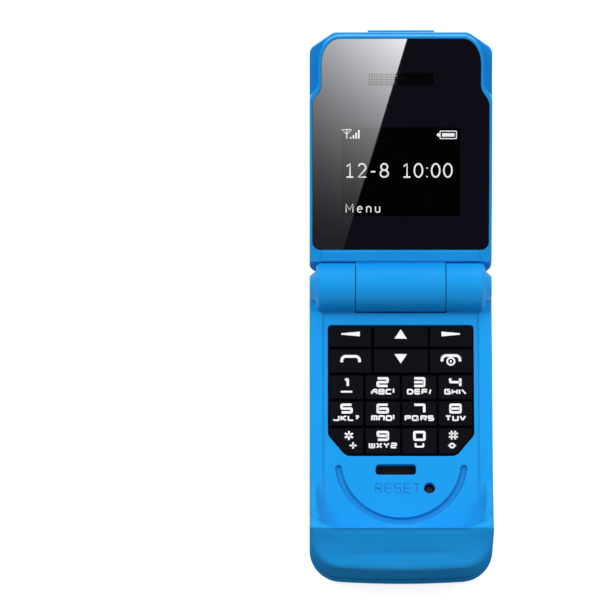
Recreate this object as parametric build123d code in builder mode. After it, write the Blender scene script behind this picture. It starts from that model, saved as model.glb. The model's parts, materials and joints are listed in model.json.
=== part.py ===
"""Mini flip phone, lying open on its back: base with keypad, lid with display.

Millimetres, +Z up. The origin is the centre of the flat back of the base. The hinge axis runs along X,
the base reaches from it toward -Y and the open lid rises from it toward +Y. Along the base and along
the lid, places are given as "stations": distances from the hinge axis.
"""

import os
from math import cos, radians, sin, sqrt

from build123d import *

os.makedirs("parts", exist_ok=True)

# ------------------------------------------------------------------ driving sizes
body_width = 28.5  # across base and lid
half_width = body_width / 2
base_depth = 9.2  # back of the base up to the hinge axis
hinge_station = 22.0  # hinge axis beyond the origin, along +Y
open_angle = 150.0  # lid angle from closed, at rest

# base outline, as stations from the hinge axis
base_hinge_end = -1.7
base_chin_end = 46.0
chin_bow = 0.7  # how far the chin end bows out across the width
chin_corner_r = 5.0
hinge_corner_r = 1.9
back_edge_r = 1.6
case_split = 3.4  # height of the seam between rear and front case
case_wall = 1.1
rear_floor = 1.0
rabbet_width = 0.5  # tongue of the rear case inside the front case
rabbet_height = 0.7
fit_gap = 0.05  # between pieces that slot together

# base face
rail_drop = 0.3  # side rails below the hinge axis
panel_drop = 0.25  # keypad panel below the side rails
rail_width = 2.05  # side rails beside the keypad panel
face_wall = 1.1

# chin
chin_rise = 3.7  # lip above the hinge axis
chin_lip = 40.3
arm_start = 31.5
arm_full = 36.8
arm_rise = 1.85
chin_corner_station = 37.6
chin_crown = 0.45  # bulge of the chin's sloping front
chin_core_stations = (41.5, 43.6)  # hollow inside the chin
chin_core_width = 16.0
chin_core_height = 2.3
lid_gap = 0.2  # lid to base, when closed

# hinge
barrel_r = 3.9
barrel_gap = 0.15  # radial gap from a barrel to the case beside it
middle_barrel = 14.0  # length of the lid's barrel
knuckle_gap = 0.12
cap_length = 1.05  # stepped end caps of the side knuckles
knuckle_end = half_width - cap_length
knuckle_bevel = 0.45
cap_r = 2.7
cap_tip_r = 1.8
cradle_wall = 0.85
cam_r = 2.2
cam_shaft_r = 1.5
pin_r = 1.2
shaft_clearance = 0.05
knuckle_bore_depth = 5.3
barrel_bore_depth = 4.0

# lanyard loop
loop_reach = 3.6  # past the hinge end of the base
loop_width = 8.4
loop_bar = 0.85
loop_hole = 4.0
loop_low = 1.3
loop_high = 3.2
loop_corner = 0.9
loop_edge_r = 0.35

# keypad
keypad_margin = 0.8  # panel beside the keys
window_half = half_width - rail_width - keypad_margin
nav_half = 4.4  # half width of the middle keys of the two top rows
row_stations = [6.0, 9.8, 14.08, 18.36, 22.7, 27.4]
window_cut_station = 24.0
window_cut = 2.8  # how far the window's lower corners are cut in
window_cut_half = window_half - window_cut
window_cut_r = 1.5
window_corner_r = 0.5
key_gap = 0.26
key_corner_r = 0.35
key_edge = 0.28
key_stand = 0.25  # key caps above the keypad panel
key_cap_height = 1.4
key_travel = 0.35
key_spare = 0.05
stem_r = 1.1
collar_r = 1.55
collar_height = 0.25
stem_clearance = 0.15
mat_web = 0.6
mat_rim = 0.7
mat_margin = 0.9

# microphone slot, reset hole, groove
mic_x = -0.85
mic_station = 29.6
mic_slot_length = 6.3
mic_slot_width = 1.68
mic_slot_r = 0.5
mic_size = (4.0, 2.2, 1.6)
mic_mesh_width = 7.3
mic_mesh_depth = 2.4
reset_x = 4.38
reset_station = 32.6
reset_hole_r = 0.87
reset_travel = 0.2
switch_side = 3.0
switch_height = 1.15
switch_floor = 0.1
switch_roof = 0.25
plunger_r = 0.6
plunger_length = 1.6
plunger_flange_r = 0.9
plunger_flange = 0.25
groove_station = 28.15
groove_r = 9.83
groove_width = 1.05
groove_depth = 0.4
groove_top = 29.4

# inside the base
screw_inset = 3.65
screw_x = half_width - screw_inset
boss_r = 1.75
board_bottom = 4.7
board_thickness = 0.8
board_inset = 1.55
board_half = half_width - board_inset
board_start = 5.2
board_end = 40.1
dome_sheet_thickness = 0.1
dome_r = 1.6
dome_height = 0.08
ledge_width = 1.0
ledge_stations = (7.0, 30.5)
post_inset = 4.25
post_x = half_width - post_inset
post_station = 38.4
post_r = 0.9
battery_gap = 0.8  # between battery and ledges
battery_half = half_width - case_wall - fit_gap - ledge_width - battery_gap
battery_size = (2 * battery_half, 24.6, 3.4)
battery_start = 6.0
battery_corner_r = 1.2
speaker_size = (14.0, 5.4, 3.1)
speaker_station = 40.9
speaker_corner_r = 1.5
slot_count = 3
slot_pitch = 1.7
slot_length = 6.0
slot_width = 0.8
antenna_gap = 0.85  # between antenna carrier and screw bosses
antenna_size = (2 * (screw_x - boss_r - antenna_gap), 2.7, 2.6)
antenna_station = 42.4
motor_r = 3.5
motor_thickness = 1.9
motor_inset = 6.85
motor_x = motor_inset - half_width
motor_station = 35.0
motor_edge_r = 0.3
shield_size = (13.0, 6.2, 1.6)
shield_x = -2.5
shield_station = 34.4
socket_size = (5.2, 7.5, 2.45)
socket_station = 35.2
socket_wall = 0.3
socket_inset = 0.35
socket_corner_r = 0.5
socket_mouth_gap = 0.15
socket_tongue = (3.6, 4.6, 0.6)
socket_tongue_rise = 0.35
screw_stations = [1.7, 42.0]
screw_shank_r = 0.7
screw_head_r = 1.25
screw_head_height = 0.7
screw_sink = 0.15  # head below the back of the case
screw_top = 6.1
screw_key_r = 0.6
front_boss_top = 6.6

# lid
lid_inner_depth = 2.0  # depth of the inner case's rim
lid_depth = 4.5  # full depth, rim to outer face
lid_hinge_depth = 3.35
hinge_drop = 0.45
lid_crown_station = 8.0
lid_crown_r = 25.0
lid_droop_station = 34.0
lid_end_depth = 3.7
lid_end = 40.1
lid_taper_station = 37.5
lid_taper = 3.75  # cut off the cover's outer corners
lid_taper_half = half_width - lid_taper
lid_narrowing = 1.35
lid_narrow_half = half_width - lid_narrowing
flare_stations = (29.5, 32.5)
round_station = 35.5
round_width = 3.35
round_half = lid_narrow_half - round_width
rim_end = 39.95
strap_end = 3.1
strap_gap = 0.12
cover_wall = 0.95
cover_skin = 0.75
cover_edge_r = 1.1
cover_corner_r = 1.5
cover_travel = 4.0
cover_hinge_wall = 5.2
plate_inset = 3.65
plate_half = half_width - plate_inset
plate_start = strap_end + strap_gap
plate_corner_r = 1.2
tab_width = 10.4
tab_start = 35.7
tab_proud = 0.2
trim_inset = 5.05
trim_half = half_width - trim_inset  # centreline of the trim's legs
trim_start = 9.8
trim_end = 33.5
trim_bend_r = 2.9
trim_width = 1.46
trim_groove_gap = 0.15
trim_groove_depth = 0.35
trim_thickness = 0.4
hook_room = 2.0  # between the hooks and the cover's hinge wall, once slid off
hook_start = cover_hinge_wall + cover_travel + hook_room
hook_pitch = 7.0
hook_count = 3
hook_stations = [hook_start + hook_pitch * place for place in range(hook_count)]
hook_length = 2.8
hook_wall_inset = 2.35
hook_wall_half = half_width - hook_wall_inset
hook_wall = 1.0
hook_reach = 0.6
hook_height = 0.5
hook_depth = 3.25
hook_wall_stations = (hook_start, 28.8)
hook_clearance = 0.1
tongue_height = 0.5
lid_pocket_start = 6.6

# window and what lies behind it
window_start = 6.03
window_end = 39.5
window_rim = 0.5
window_wide_flare = (28.7, 32.4)
glass_thickness = 0.8
glass_sink = 0.1
glass_gap = 0.06
lid_web = 0.3
view_inset = 4.45
view_half = half_width - view_inset
view_stations = (10.9, 26.1)
stack_gap = 0.1  # between the display and the walls beside it
stack_half = hook_wall_half - hook_wall - stack_gap
display_size = (2 * stack_half, 18.0, 1.2)
display_station = 18.5
ear_station = 33.1
ear_slot = (10.3, 2.0)
ear_slot_r = 0.5
ear_rest = (1.0, 0.4)  # rim that the mesh rests on
ear_mesh_thickness = 0.3
receiver_size = (10.0, 4.2, 1.8)
lid_board_thickness = 0.4
lid_board_half = stack_half
lid_board_stations = (10.0, 30.4)
card_socket_size = (15.0, 13.0, 0.8)
card_socket_station = 19.5
card_socket_wall = 0.15

# ------------------------------------------------------------------ worked-out places
rail_height = base_depth - rail_drop
panel_height = rail_height - panel_drop
face_under = panel_height - face_wall
ledge_x = half_width - case_wall - ledge_width / 2 - fit_gap
board_top = board_bottom + board_thickness
dome_top = board_top + dome_sheet_thickness + dome_height
key_top = panel_height + key_stand
key_bottom = key_top - key_cap_height
web_top = key_bottom - key_travel - key_spare
web_bottom = web_top - mat_web
stem_bottom = dome_top + key_travel + key_spare
middle_half = middle_barrel / 2
knuckle_start = middle_half + knuckle_gap
shell_r = barrel_r + barrel_gap
knuckle_bore_end = knuckle_start + knuckle_bore_depth
barrel_bore_end = middle_half - barrel_bore_depth
lid_lean = radians(180.0 - open_angle)
glass_floor = glass_sink + glass_thickness
web_back = glass_floor + lid_web
hook_lip_half = hook_wall_half + hook_reach
tongue_tip = hook_wall_half + hook_clearance
tongue_width = half_width - cover_wall / 2 - tongue_tip
tongue_x = tongue_tip + tongue_width / 2
tongue_depth = hook_depth - hook_height - hook_clearance


def station(distance):
    """Y of a place that lies this far from the hinge axis along the base."""
    return hinge_station - distance


hinge_point = (0, hinge_station, base_depth)
lid_plane = Plane(hinge_point, x_dir=(1, 0, 0), z_dir=(0, -sin(lid_lean), cos(lid_lean)))
closed_plane = Plane(hinge_point, x_dir=(1, 0, 0), z_dir=(0, 0, -1))
lid_side = Plane(hinge_point, x_dir=(0, cos(lid_lean), sin(lid_lean)), z_dir=(1, 0, 0))
axis_plane = Plane(hinge_point, x_dir=(0, 1, 0), z_dir=(1, 0, 0))
socket_place = (half_width, station(socket_station), board_bottom - socket_size[2] / 2)
socket_plane = Plane(socket_place, x_dir=(0, 1, 0), z_dir=(1, 0, 0))
screw_places = [(side * screw_x, station(place)) for place in screw_stations for side in (1, -1)]
trim_path = [
    (-trim_half, trim_start),
    (-trim_half, trim_end),
    (trim_half, trim_end),
    (trim_half, trim_start),
]


def finish(builder, name):
    """Label a finished piece and write it out."""
    builder.part.label = name
    export_step(builder.part, f"parts/{name}.step")


# ------------------------------------------------------------------ shared outlines
with BuildSketch() as base_outline:
    with BuildLine():
        corner = station(base_chin_end - chin_bow)
        Polyline(
            (-half_width, corner),
            (-half_width, station(base_hinge_end)),
            (half_width, station(base_hinge_end)),
            (half_width, corner),
        )
        ThreePointArc((half_width, corner), (0, station(base_chin_end)), (-half_width, corner))
    make_face()
    fillet(base_outline.vertices().group_by(Axis.Y)[0], chin_corner_r)
    fillet(base_outline.vertices().group_by(Axis.Y)[-1], hinge_corner_r)


def narrowing_outline(wide, narrow, flare, rounding, end, start=0.0):
    """Half of a panel that narrows at a flare and ends in quarter-elliptical corners, mirrored.

    Local x runs across the lid and local y away from the hinge.
    """
    flare_low, flare_high = flare
    bend = (flare_high - flare_low) * 0.5
    corner_x, corner_y = rounding
    with BuildSketch() as outline:
        with BuildLine():
            Polyline((0, start), (wide, start), (wide, flare_low))
            Bezier(
                (wide, flare_low),
                (wide, flare_low + bend),
                (narrow, flare_high - bend),
                (narrow, flare_high),
            )
            Line((narrow, flare_high), (narrow, corner_y))
            EllipticalCenterArc((corner_x, corner_y), narrow - corner_x, end - corner_y, arc_size=90)
            Line((corner_x, end), (0, end))
            mirror(about=Plane.YZ)
        make_face()
    return outline.sketch


def rim_outline(grow=0.0):
    """Outline of the lid's rim, grown on every side."""
    corner = (round_half, round_station)
    return narrowing_outline(
        half_width + grow, lid_narrow_half + grow, flare_stations, corner, rim_end + grow
    )


def window_outline(grow=0.0):
    """Outline of the display window, grown on every side."""
    inset = window_rim - grow
    corner = (round_half, round_station)
    return narrowing_outline(
        half_width - inset,
        lid_narrow_half - inset,
        window_wide_flare,
        corner,
        window_end + grow,
        window_start - grow,
    )


with BuildSketch() as cover_outline:
    with BuildLine():
        Polyline(
            (-half_width, 0),
            (half_width, 0),
            (half_width, lid_taper_station),
            (lid_taper_half, lid_end),
            (-lid_taper_half, lid_end),
            (-half_width, lid_taper_station),
            close=True,
        )
    make_face()
    fillet(cover_outline.vertices().filter_by(lambda v: v.Y > 1), cover_corner_r)

with BuildSketch() as keypad_outline:
    with BuildLine():
        Polyline(
            (-window_half, station(row_stations[0])),
            (window_half, station(row_stations[0])),
            (window_half, station(window_cut_station)),
            (window_cut_half, station(row_stations[-1])),
            (-window_cut_half, station(row_stations[-1])),
            (-window_half, station(window_cut_station)),
            close=True,
        )
    make_face()
    fillet(keypad_outline.vertices().group_by(Axis.Y)[-1], window_corner_r)
    fillet(
        keypad_outline.vertices().filter_by(lambda v: v.Y < station(row_stations[-2])), window_cut_r
    )

# ------------------------------------------------------------------ base: whole outer form
with BuildPart() as base_form:
    with BuildSketch(Plane.YZ):
        with BuildLine():
            Polyline(
                (station(base_chin_end), base_depth),
                (station(base_chin_end), 0),
                (station(base_hinge_end), 0),
                (station(base_hinge_end), rail_height),
                (station(arm_start), rail_height),
                (station(arm_full), base_depth + arm_rise),
                (station(chin_corner_station), base_depth + arm_rise),
                (station(chin_lip), base_depth + chin_rise),
            )
            SagittaArc(
                (station(chin_lip), base_depth + chin_rise),
                (station(base_chin_end), base_depth),
                chin_crown,
            )
        make_face()
    extrude(amount=half_width, both=True)
    with BuildSketch():
        add(base_outline.sketch)
    extrude(amount=base_depth + chin_rise, mode=Mode.INTERSECT)
    fillet(base_form.faces().sort_by(Axis.Z)[0].edges(), back_edge_r)

# ------------------------------------------------------------------ base front case
with BuildPart() as front_hollow:
    with BuildSketch(Plane.XY.offset(case_split)):
        add(base_outline.sketch)
        offset(amount=-case_wall)
    extrude(amount=face_under - case_split)
    with BuildSketch(axis_plane):
        Circle(shell_r + cradle_wall)
    extrude(amount=half_width, both=True, mode=Mode.SUBTRACT)
    with BuildSketch(Plane.XY.offset(face_under)):
        with Locations((0, station(sum(chin_core_stations) / 2))):
            Rectangle(chin_core_width, chin_core_stations[1] - chin_core_stations[0])
    extrude(amount=chin_core_height)

with BuildPart() as base_front_case:
    add(base_form.part)
    split(bisect_by=Plane.XY.offset(case_split), keep=Keep.TOP)

    # side knuckles with stepped end caps, turned about the hinge axis
    for side in (1, -1):
        with BuildSketch(Plane(hinge_point, x_dir=(side, 0, 0), z_dir=(0, side, 0))):
            with BuildLine():
                Polyline(
                    (knuckle_start, 0),
                    (knuckle_start, barrel_r),
                    (knuckle_end - knuckle_bevel, barrel_r),
                    (knuckle_end, barrel_r - knuckle_bevel),
                    (knuckle_end, cap_r),
                    (half_width, cap_tip_r),
                    (half_width, 0),
                    close=True,
                )
            make_face()
        revolve(axis=Axis(hinge_point, (1, 0, 0)))

    # cradle for the lid's barrel, clear of the strap that joins barrel and lid
    with BuildSketch(axis_plane):
        Circle(shell_r)
    extrude(amount=knuckle_start, both=True, mode=Mode.SUBTRACT)

    # room for the closed lid inside the chin: its rim first, then its wider outer half
    with BuildSketch(closed_plane.offset(rail_drop)):
        add(rim_outline(lid_gap))
        Rectangle(body_width * 2, shell_r * 4, mode=Mode.SUBTRACT)
    extrude(amount=-(rail_drop + lid_inner_depth), mode=Mode.SUBTRACT)
    with BuildSketch(closed_plane.offset(-arm_rise)):
        add(cover_outline.sketch)
        offset(amount=lid_gap)
        Rectangle(body_width * 2, shell_r * 4, mode=Mode.SUBTRACT)
    extrude(amount=-(chin_rise + lid_gap), mode=Mode.SUBTRACT)

    # keypad panel, a little below the side rails
    with BuildSketch(closed_plane.offset(rail_drop + panel_drop)):
        add(
            narrowing_outline(
                half_width - rail_width,
                half_width - rail_width,
                flare_stations,
                (round_half, round_station),
                rim_end + lid_gap,
                shell_r,
            )
        )
    extrude(amount=-(panel_drop + rail_drop), mode=Mode.SUBTRACT)

    # openings and groove in the face
    with BuildSketch(Plane.XY.offset(panel_height)):
        add(keypad_outline.sketch)
        with Locations((mic_x, station(mic_station))):
            RectangleRounded(mic_slot_length, mic_slot_width, mic_slot_r)
        with Locations((reset_x, station(reset_station))):
            Circle(reset_hole_r)
    extrude(amount=-face_wall, mode=Mode.SUBTRACT)
    with BuildSketch(Plane.XY.offset(panel_height)):
        with BuildLine() as groove_line:
            groove_y = station(groove_station)
            reach = sqrt(groove_r**2 - (groove_top - groove_station) ** 2)
            ThreePointArc(
                (-reach, station(groove_top)),
                (0, groove_y - groove_r),
                (reach, station(groove_top)),
            )
            offset(amount=groove_width / 2, side=Side.BOTH)
        make_face()
    extrude(amount=-groove_depth, mode=Mode.SUBTRACT)

    # hollow inside, rabbet for the rear case's tongue, screw bosses
    add(front_hollow.part, mode=Mode.SUBTRACT)
    with BuildSketch(Plane.XY.offset(case_split)):
        add(base_outline.sketch)
        offset(amount=rabbet_width - case_wall)
    extrude(amount=rabbet_height + fit_gap, mode=Mode.SUBTRACT)
    with BuildSketch(Plane.XY.offset(case_split)):
        with Locations(*screw_places):
            Circle(boss_r)
    extrude(amount=front_boss_top - case_split)
    with BuildSketch(Plane.XY.offset(case_split)):
        with Locations(*screw_places[2:]):
            Circle(boss_r)
    extrude(amount=face_under - case_split)
    with BuildSketch(Plane.XY.offset(case_split)):
        with Locations(*screw_places):
            Circle(screw_shank_r)
    extrude(amount=screw_top - case_split, mode=Mode.SUBTRACT)

    # bores for the hinge cam unit and the plain hinge pin
    with BuildSketch(axis_plane.offset(knuckle_start)):
        Circle(cam_r)
    extrude(amount=knuckle_bore_depth, mode=Mode.SUBTRACT)
    with BuildSketch(axis_plane.offset(-knuckle_start)):
        Circle(pin_r)
    extrude(amount=-knuckle_bore_depth, mode=Mode.SUBTRACT)

    # mouth of the charging socket
    with BuildSketch(socket_plane):
        Rectangle(socket_size[1] + 2 * socket_mouth_gap, socket_size[2] + 2 * socket_mouth_gap)
    extrude(amount=-socket_size[0], mode=Mode.SUBTRACT)
finish(base_front_case, "base_front_case")

# ------------------------------------------------------------------ base rear case
with BuildPart() as base_rear_case:
    add(base_form.part)
    split(bisect_by=Plane.XY.offset(case_split), keep=Keep.BOTTOM)

    # tongue into the front case, then the hollow
    with BuildSketch(Plane.XY.offset(case_split)):
        add(base_outline.sketch)
        offset(amount=rabbet_width - case_wall - fit_gap)
    extrude(amount=rabbet_height)
    with BuildSketch(Plane.XY.offset(rear_floor)):
        add(base_outline.sketch)
        offset(amount=-case_wall)
    extrude(amount=base_depth, mode=Mode.SUBTRACT)

    # ledges and a post under the circuit board, screw bosses
    with BuildSketch(Plane.XY.offset(rear_floor)):
        for side in (1, -1):
            with Locations((side * ledge_x, station(sum(ledge_stations) / 2))):
                Rectangle(ledge_width, ledge_stations[1] - ledge_stations[0])
        with Locations((-post_x, station(post_station))):
            Circle(post_r)
    extrude(amount=board_bottom - rear_floor)
    with BuildSketch(Plane.XY.offset(rear_floor)):
        with Locations(*screw_places):
            Circle(boss_r)
    extrude(amount=case_split - rear_floor)
    with BuildSketch():
        with Locations(*screw_places):
            Circle(screw_head_r + fit_gap)
    extrude(amount=screw_sink + screw_head_height, mode=Mode.SUBTRACT)
    with BuildSketch():
        with Locations(*screw_places):
            Circle(screw_shank_r + fit_gap)
    extrude(amount=case_split, mode=Mode.SUBTRACT)

    # sound slots of the loudspeaker
    with BuildSketch():
        with Locations((0, station(speaker_station))):
            with GridLocations(0, slot_pitch, 1, slot_count):
                SlotOverall(slot_length, slot_width)
    extrude(amount=rear_floor, mode=Mode.SUBTRACT)

    # lanyard loop at the hinge end
    with BuildSketch(Plane.XY.offset(loop_low)) as loop_sketch:
        with Locations((0, station(base_hinge_end) - case_wall / 2)):
            Rectangle(loop_width, (loop_reach + case_wall / 2) * 2)
        chamfer(loop_sketch.vertices().group_by(Axis.Y)[-1], loop_corner)
        with Locations((0, station(base_hinge_end))):
            Rectangle(body_width, loop_reach * 4, align=(Align.CENTER, Align.MAX), mode=Mode.SUBTRACT)
        with Locations((0, station(base_hinge_end))):
            Rectangle(loop_hole, (loop_reach - loop_bar) * 2, mode=Mode.SUBTRACT)
    extrude(amount=loop_high - loop_low)
    fillet(
        base_rear_case.edges().filter_by(
            lambda e: abs(e.center().Y - station(base_hinge_end) - loop_reach) < loop_edge_r
            and e.center().Z > loop_low - loop_edge_r
        ).filter_by(Axis.X),
        loop_edge_r,
    )

    with BuildSketch(socket_plane):
        Rectangle(socket_size[1] + 2 * socket_mouth_gap, socket_size[2] + 2 * socket_mouth_gap)
    extrude(amount=-socket_size[0], mode=Mode.SUBTRACT)
finish(base_rear_case, "base_rear_case")

with BuildPart() as case_screws:
    with BuildSketch(Plane.XY.offset(screw_sink)):
        with Locations(*screw_places):
            Circle(screw_head_r)
    extrude(amount=screw_head_height)
    with BuildSketch(Plane.XY.offset(screw_sink + screw_head_height)):
        with Locations(*screw_places):
            Circle(screw_shank_r)
    extrude(amount=screw_top - screw_sink - screw_head_height)
    with BuildSketch(Plane.XY.offset(screw_sink)):
        with Locations(*screw_places):
            RegularPolygon(screw_key_r, 6)
    extrude(amount=screw_head_height / 2, mode=Mode.SUBTRACT)
finish(case_screws, "case_screws")

# ------------------------------------------------------------------ keypad
thirds = [-window_half, -nav_half, nav_half, window_half]
quarters = [-window_half, -window_half / 2, 0, window_half / 2, window_half]
key_rows = [
    (thirds, ["key_soft_left", "key_up", "key_soft_right"]),
    (thirds, ["key_call", "key_down", "key_end"]),
    (quarters, ["key_1", "key_2", "key_3", "key_4"]),
    (quarters, ["key_5", "key_6", "key_7", "key_8"]),
    (quarters, ["key_star", "key_9", "key_0", "key_hash"]),
]
key_cells = {}
for row, (columns, names) in enumerate(key_rows):
    for column, key_name in enumerate(names):
        key_cells[key_name] = (
            (columns[column] + columns[column + 1]) / 2,
            station((row_stations[row] + row_stations[row + 1]) / 2),
            columns[column + 1] - columns[column] - key_gap,
            row_stations[row + 1] - row_stations[row] - key_gap,
        )
key_centres = [cell[:2] for cell in key_cells.values()]


def make_key(cell):
    """One key: cap with eased edges, stem through the key mat, and the collar that holds it up."""
    centre_x, centre_y, width, depth = cell
    with BuildPart() as key:
        with BuildSketch(Plane.XY.offset(key_bottom)) as cap:
            add(keypad_outline.sketch)
            offset(amount=-key_gap)
            with Locations((centre_x, centre_y)):
                Rectangle(width, depth, mode=Mode.INTERSECT)
            square = cap.vertices().filter_by(
                lambda v: abs(abs(v.X - centre_x) - width / 2) < key_gap
                and abs(abs(v.Y - centre_y) - depth / 2) < key_gap
            )
            fillet(square, key_corner_r)
        extrude(amount=key_cap_height)
        fillet(key.faces().sort_by(Axis.Z)[-1].edges(), key_edge)
        with BuildSketch(Plane.XY.offset(stem_bottom)):
            with Locations((centre_x, centre_y)):
                Circle(stem_r)
        extrude(amount=key_bottom - stem_bottom)
        with BuildSketch(Plane.XY.offset(web_bottom)):
            with Locations((centre_x, centre_y)):
                Circle(collar_r)
        extrude(amount=-collar_height)
    return key


for key_name, cell in key_cells.items():
    finish(make_key(cell), key_name)

with BuildPart() as key_mat:
    with BuildSketch(Plane.XY.offset(board_top)):
        add(keypad_outline.sketch)
        offset(amount=mat_margin)
    extrude(amount=face_under - board_top)
    for low, high in ((board_top, web_bottom), (web_top, face_under)):
        with BuildSketch(Plane.XY.offset(low)):
            add(keypad_outline.sketch)
            offset(amount=mat_margin - mat_rim)
        extrude(amount=high - low, mode=Mode.SUBTRACT)
    with BuildSketch(Plane.XY.offset(web_bottom)):
        with Locations(*key_centres):
            Circle(stem_r + stem_clearance)
    extrude(amount=mat_web, mode=Mode.SUBTRACT)
finish(key_mat, "key_mat")

with BuildPart() as dome_sheet:
    with BuildSketch(Plane.XY.offset(board_top)):
        add(keypad_outline.sketch)
    extrude(amount=dome_sheet_thickness)
    with BuildSketch(Plane.XY.offset(board_top + dome_sheet_thickness)):
        with Locations(*key_centres):
            Circle(dome_r)
    extrude(amount=dome_height)
finish(dome_sheet, "dome_sheet")

# ------------------------------------------------------------------ inside the base


def make_block(name, size, place, low, corner_r=0.3):
    """A block-shaped component of this size, centred on place, standing on the height low."""
    with BuildPart() as block:
        with BuildSketch(Plane.XY.offset(low)):
            with Locations(place):
                RectangleRounded(size[0], size[1], corner_r)
        extrude(amount=size[2])
    finish(block, name)


board_middle = station((board_start + board_end) / 2)
make_block(
    "main_board", (2 * board_half, board_end - board_start, board_thickness), (0, board_middle), board_bottom
)
battery_place = (0, station(battery_start + battery_size[1] / 2))
make_block("battery", battery_size, battery_place, rear_floor, battery_corner_r)
make_block("loudspeaker", speaker_size, (0, station(speaker_station)), rear_floor, speaker_corner_r)
antenna_low = rear_floor + speaker_size[2]
make_block("antenna_carrier", antenna_size, (0, station(antenna_station)), antenna_low)
shield_place = (shield_x, station(shield_station))
make_block("shield_can", shield_size, shield_place, board_bottom - shield_size[2])
make_block("microphone", mic_size, (mic_x, station(mic_station)), board_top)
mesh_low = board_top + mic_size[2]
mic_mesh_size = (mic_mesh_width, mic_mesh_depth, face_under - mesh_low)
make_block("microphone_mesh", mic_mesh_size, (mic_x, station(mic_station)), mesh_low)

with BuildPart() as vibration_motor:
    with BuildSketch(Plane.XY.offset(board_top)):
        with Locations((motor_x, station(motor_station))):
            Circle(motor_r)
    extrude(amount=motor_thickness)
    fillet(vibration_motor.edges().sort_by(Axis.Z)[-1], motor_edge_r)
finish(vibration_motor, "vibration_motor")

with BuildPart() as reset_switch:
    with BuildSketch(Plane.XY.offset(board_top)):
        with Locations((reset_x, station(reset_station))):
            RectangleRounded(switch_side, switch_side, fit_gap * 4)
    extrude(amount=switch_height)
    with BuildSketch(Plane.XY.offset(board_top + switch_floor)):
        with Locations((reset_x, station(reset_station))):
            Circle(plunger_flange_r + 2 * shaft_clearance)
    extrude(amount=switch_height - switch_floor - switch_roof, mode=Mode.SUBTRACT)
    with BuildSketch(Plane.XY.offset(board_top)):
        with Locations((reset_x, station(reset_station))):
            Circle(plunger_r + shaft_clearance)
    extrude(amount=switch_height, mode=Mode.SUBTRACT)
finish(reset_switch, "reset_switch")

with BuildPart() as reset_plunger:
    with BuildSketch(Plane.XY.offset(board_top + switch_floor + reset_travel)):
        with Locations((reset_x, station(reset_station))):
            Circle(plunger_r)
    extrude(amount=plunger_length)
    with BuildSketch(Plane.XY.offset(board_top + switch_height - switch_roof)):
        with Locations((reset_x, station(reset_station))):
            Circle(plunger_flange_r)
    extrude(amount=-plunger_flange)
finish(reset_plunger, "reset_plunger")

with BuildPart() as charging_socket:
    with BuildSketch(socket_plane.offset(-socket_inset)):
        RectangleRounded(socket_size[1], socket_size[2], socket_corner_r)
    extrude(amount=-socket_size[0])
    with BuildSketch(socket_plane.offset(-socket_inset)):
        RectangleRounded(
            socket_size[1] - 2 * socket_wall, socket_size[2] - 2 * socket_wall, socket_corner_r - socket_wall
        )
    extrude(amount=socket_wall - socket_size[0], mode=Mode.SUBTRACT)
    with BuildSketch(socket_plane.offset(-socket_inset - socket_size[0])):
        with Locations((0, socket_tongue_rise)):
            Rectangle(socket_tongue[1], socket_tongue[2])
    extrude(amount=socket_tongue[0])
finish(charging_socket, "charging_socket")

# ------------------------------------------------------------------ hinge
with BuildPart() as hinge_cam_unit:
    with BuildSketch(axis_plane.offset(knuckle_start)):
        Circle(cam_r)
    extrude(amount=knuckle_bore_depth)
    with BuildSketch(axis_plane.offset(barrel_bore_end + fit_gap)):
        Circle(cam_shaft_r)
    extrude(amount=knuckle_start - barrel_bore_end - fit_gap)
finish(hinge_cam_unit, "hinge_cam_unit")

with BuildPart() as hinge_pin:
    with BuildSketch(axis_plane.offset(-knuckle_bore_end)):
        Circle(pin_r)
    extrude(amount=knuckle_bore_end - barrel_bore_end - fit_gap)
finish(hinge_pin, "hinge_pin")

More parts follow.
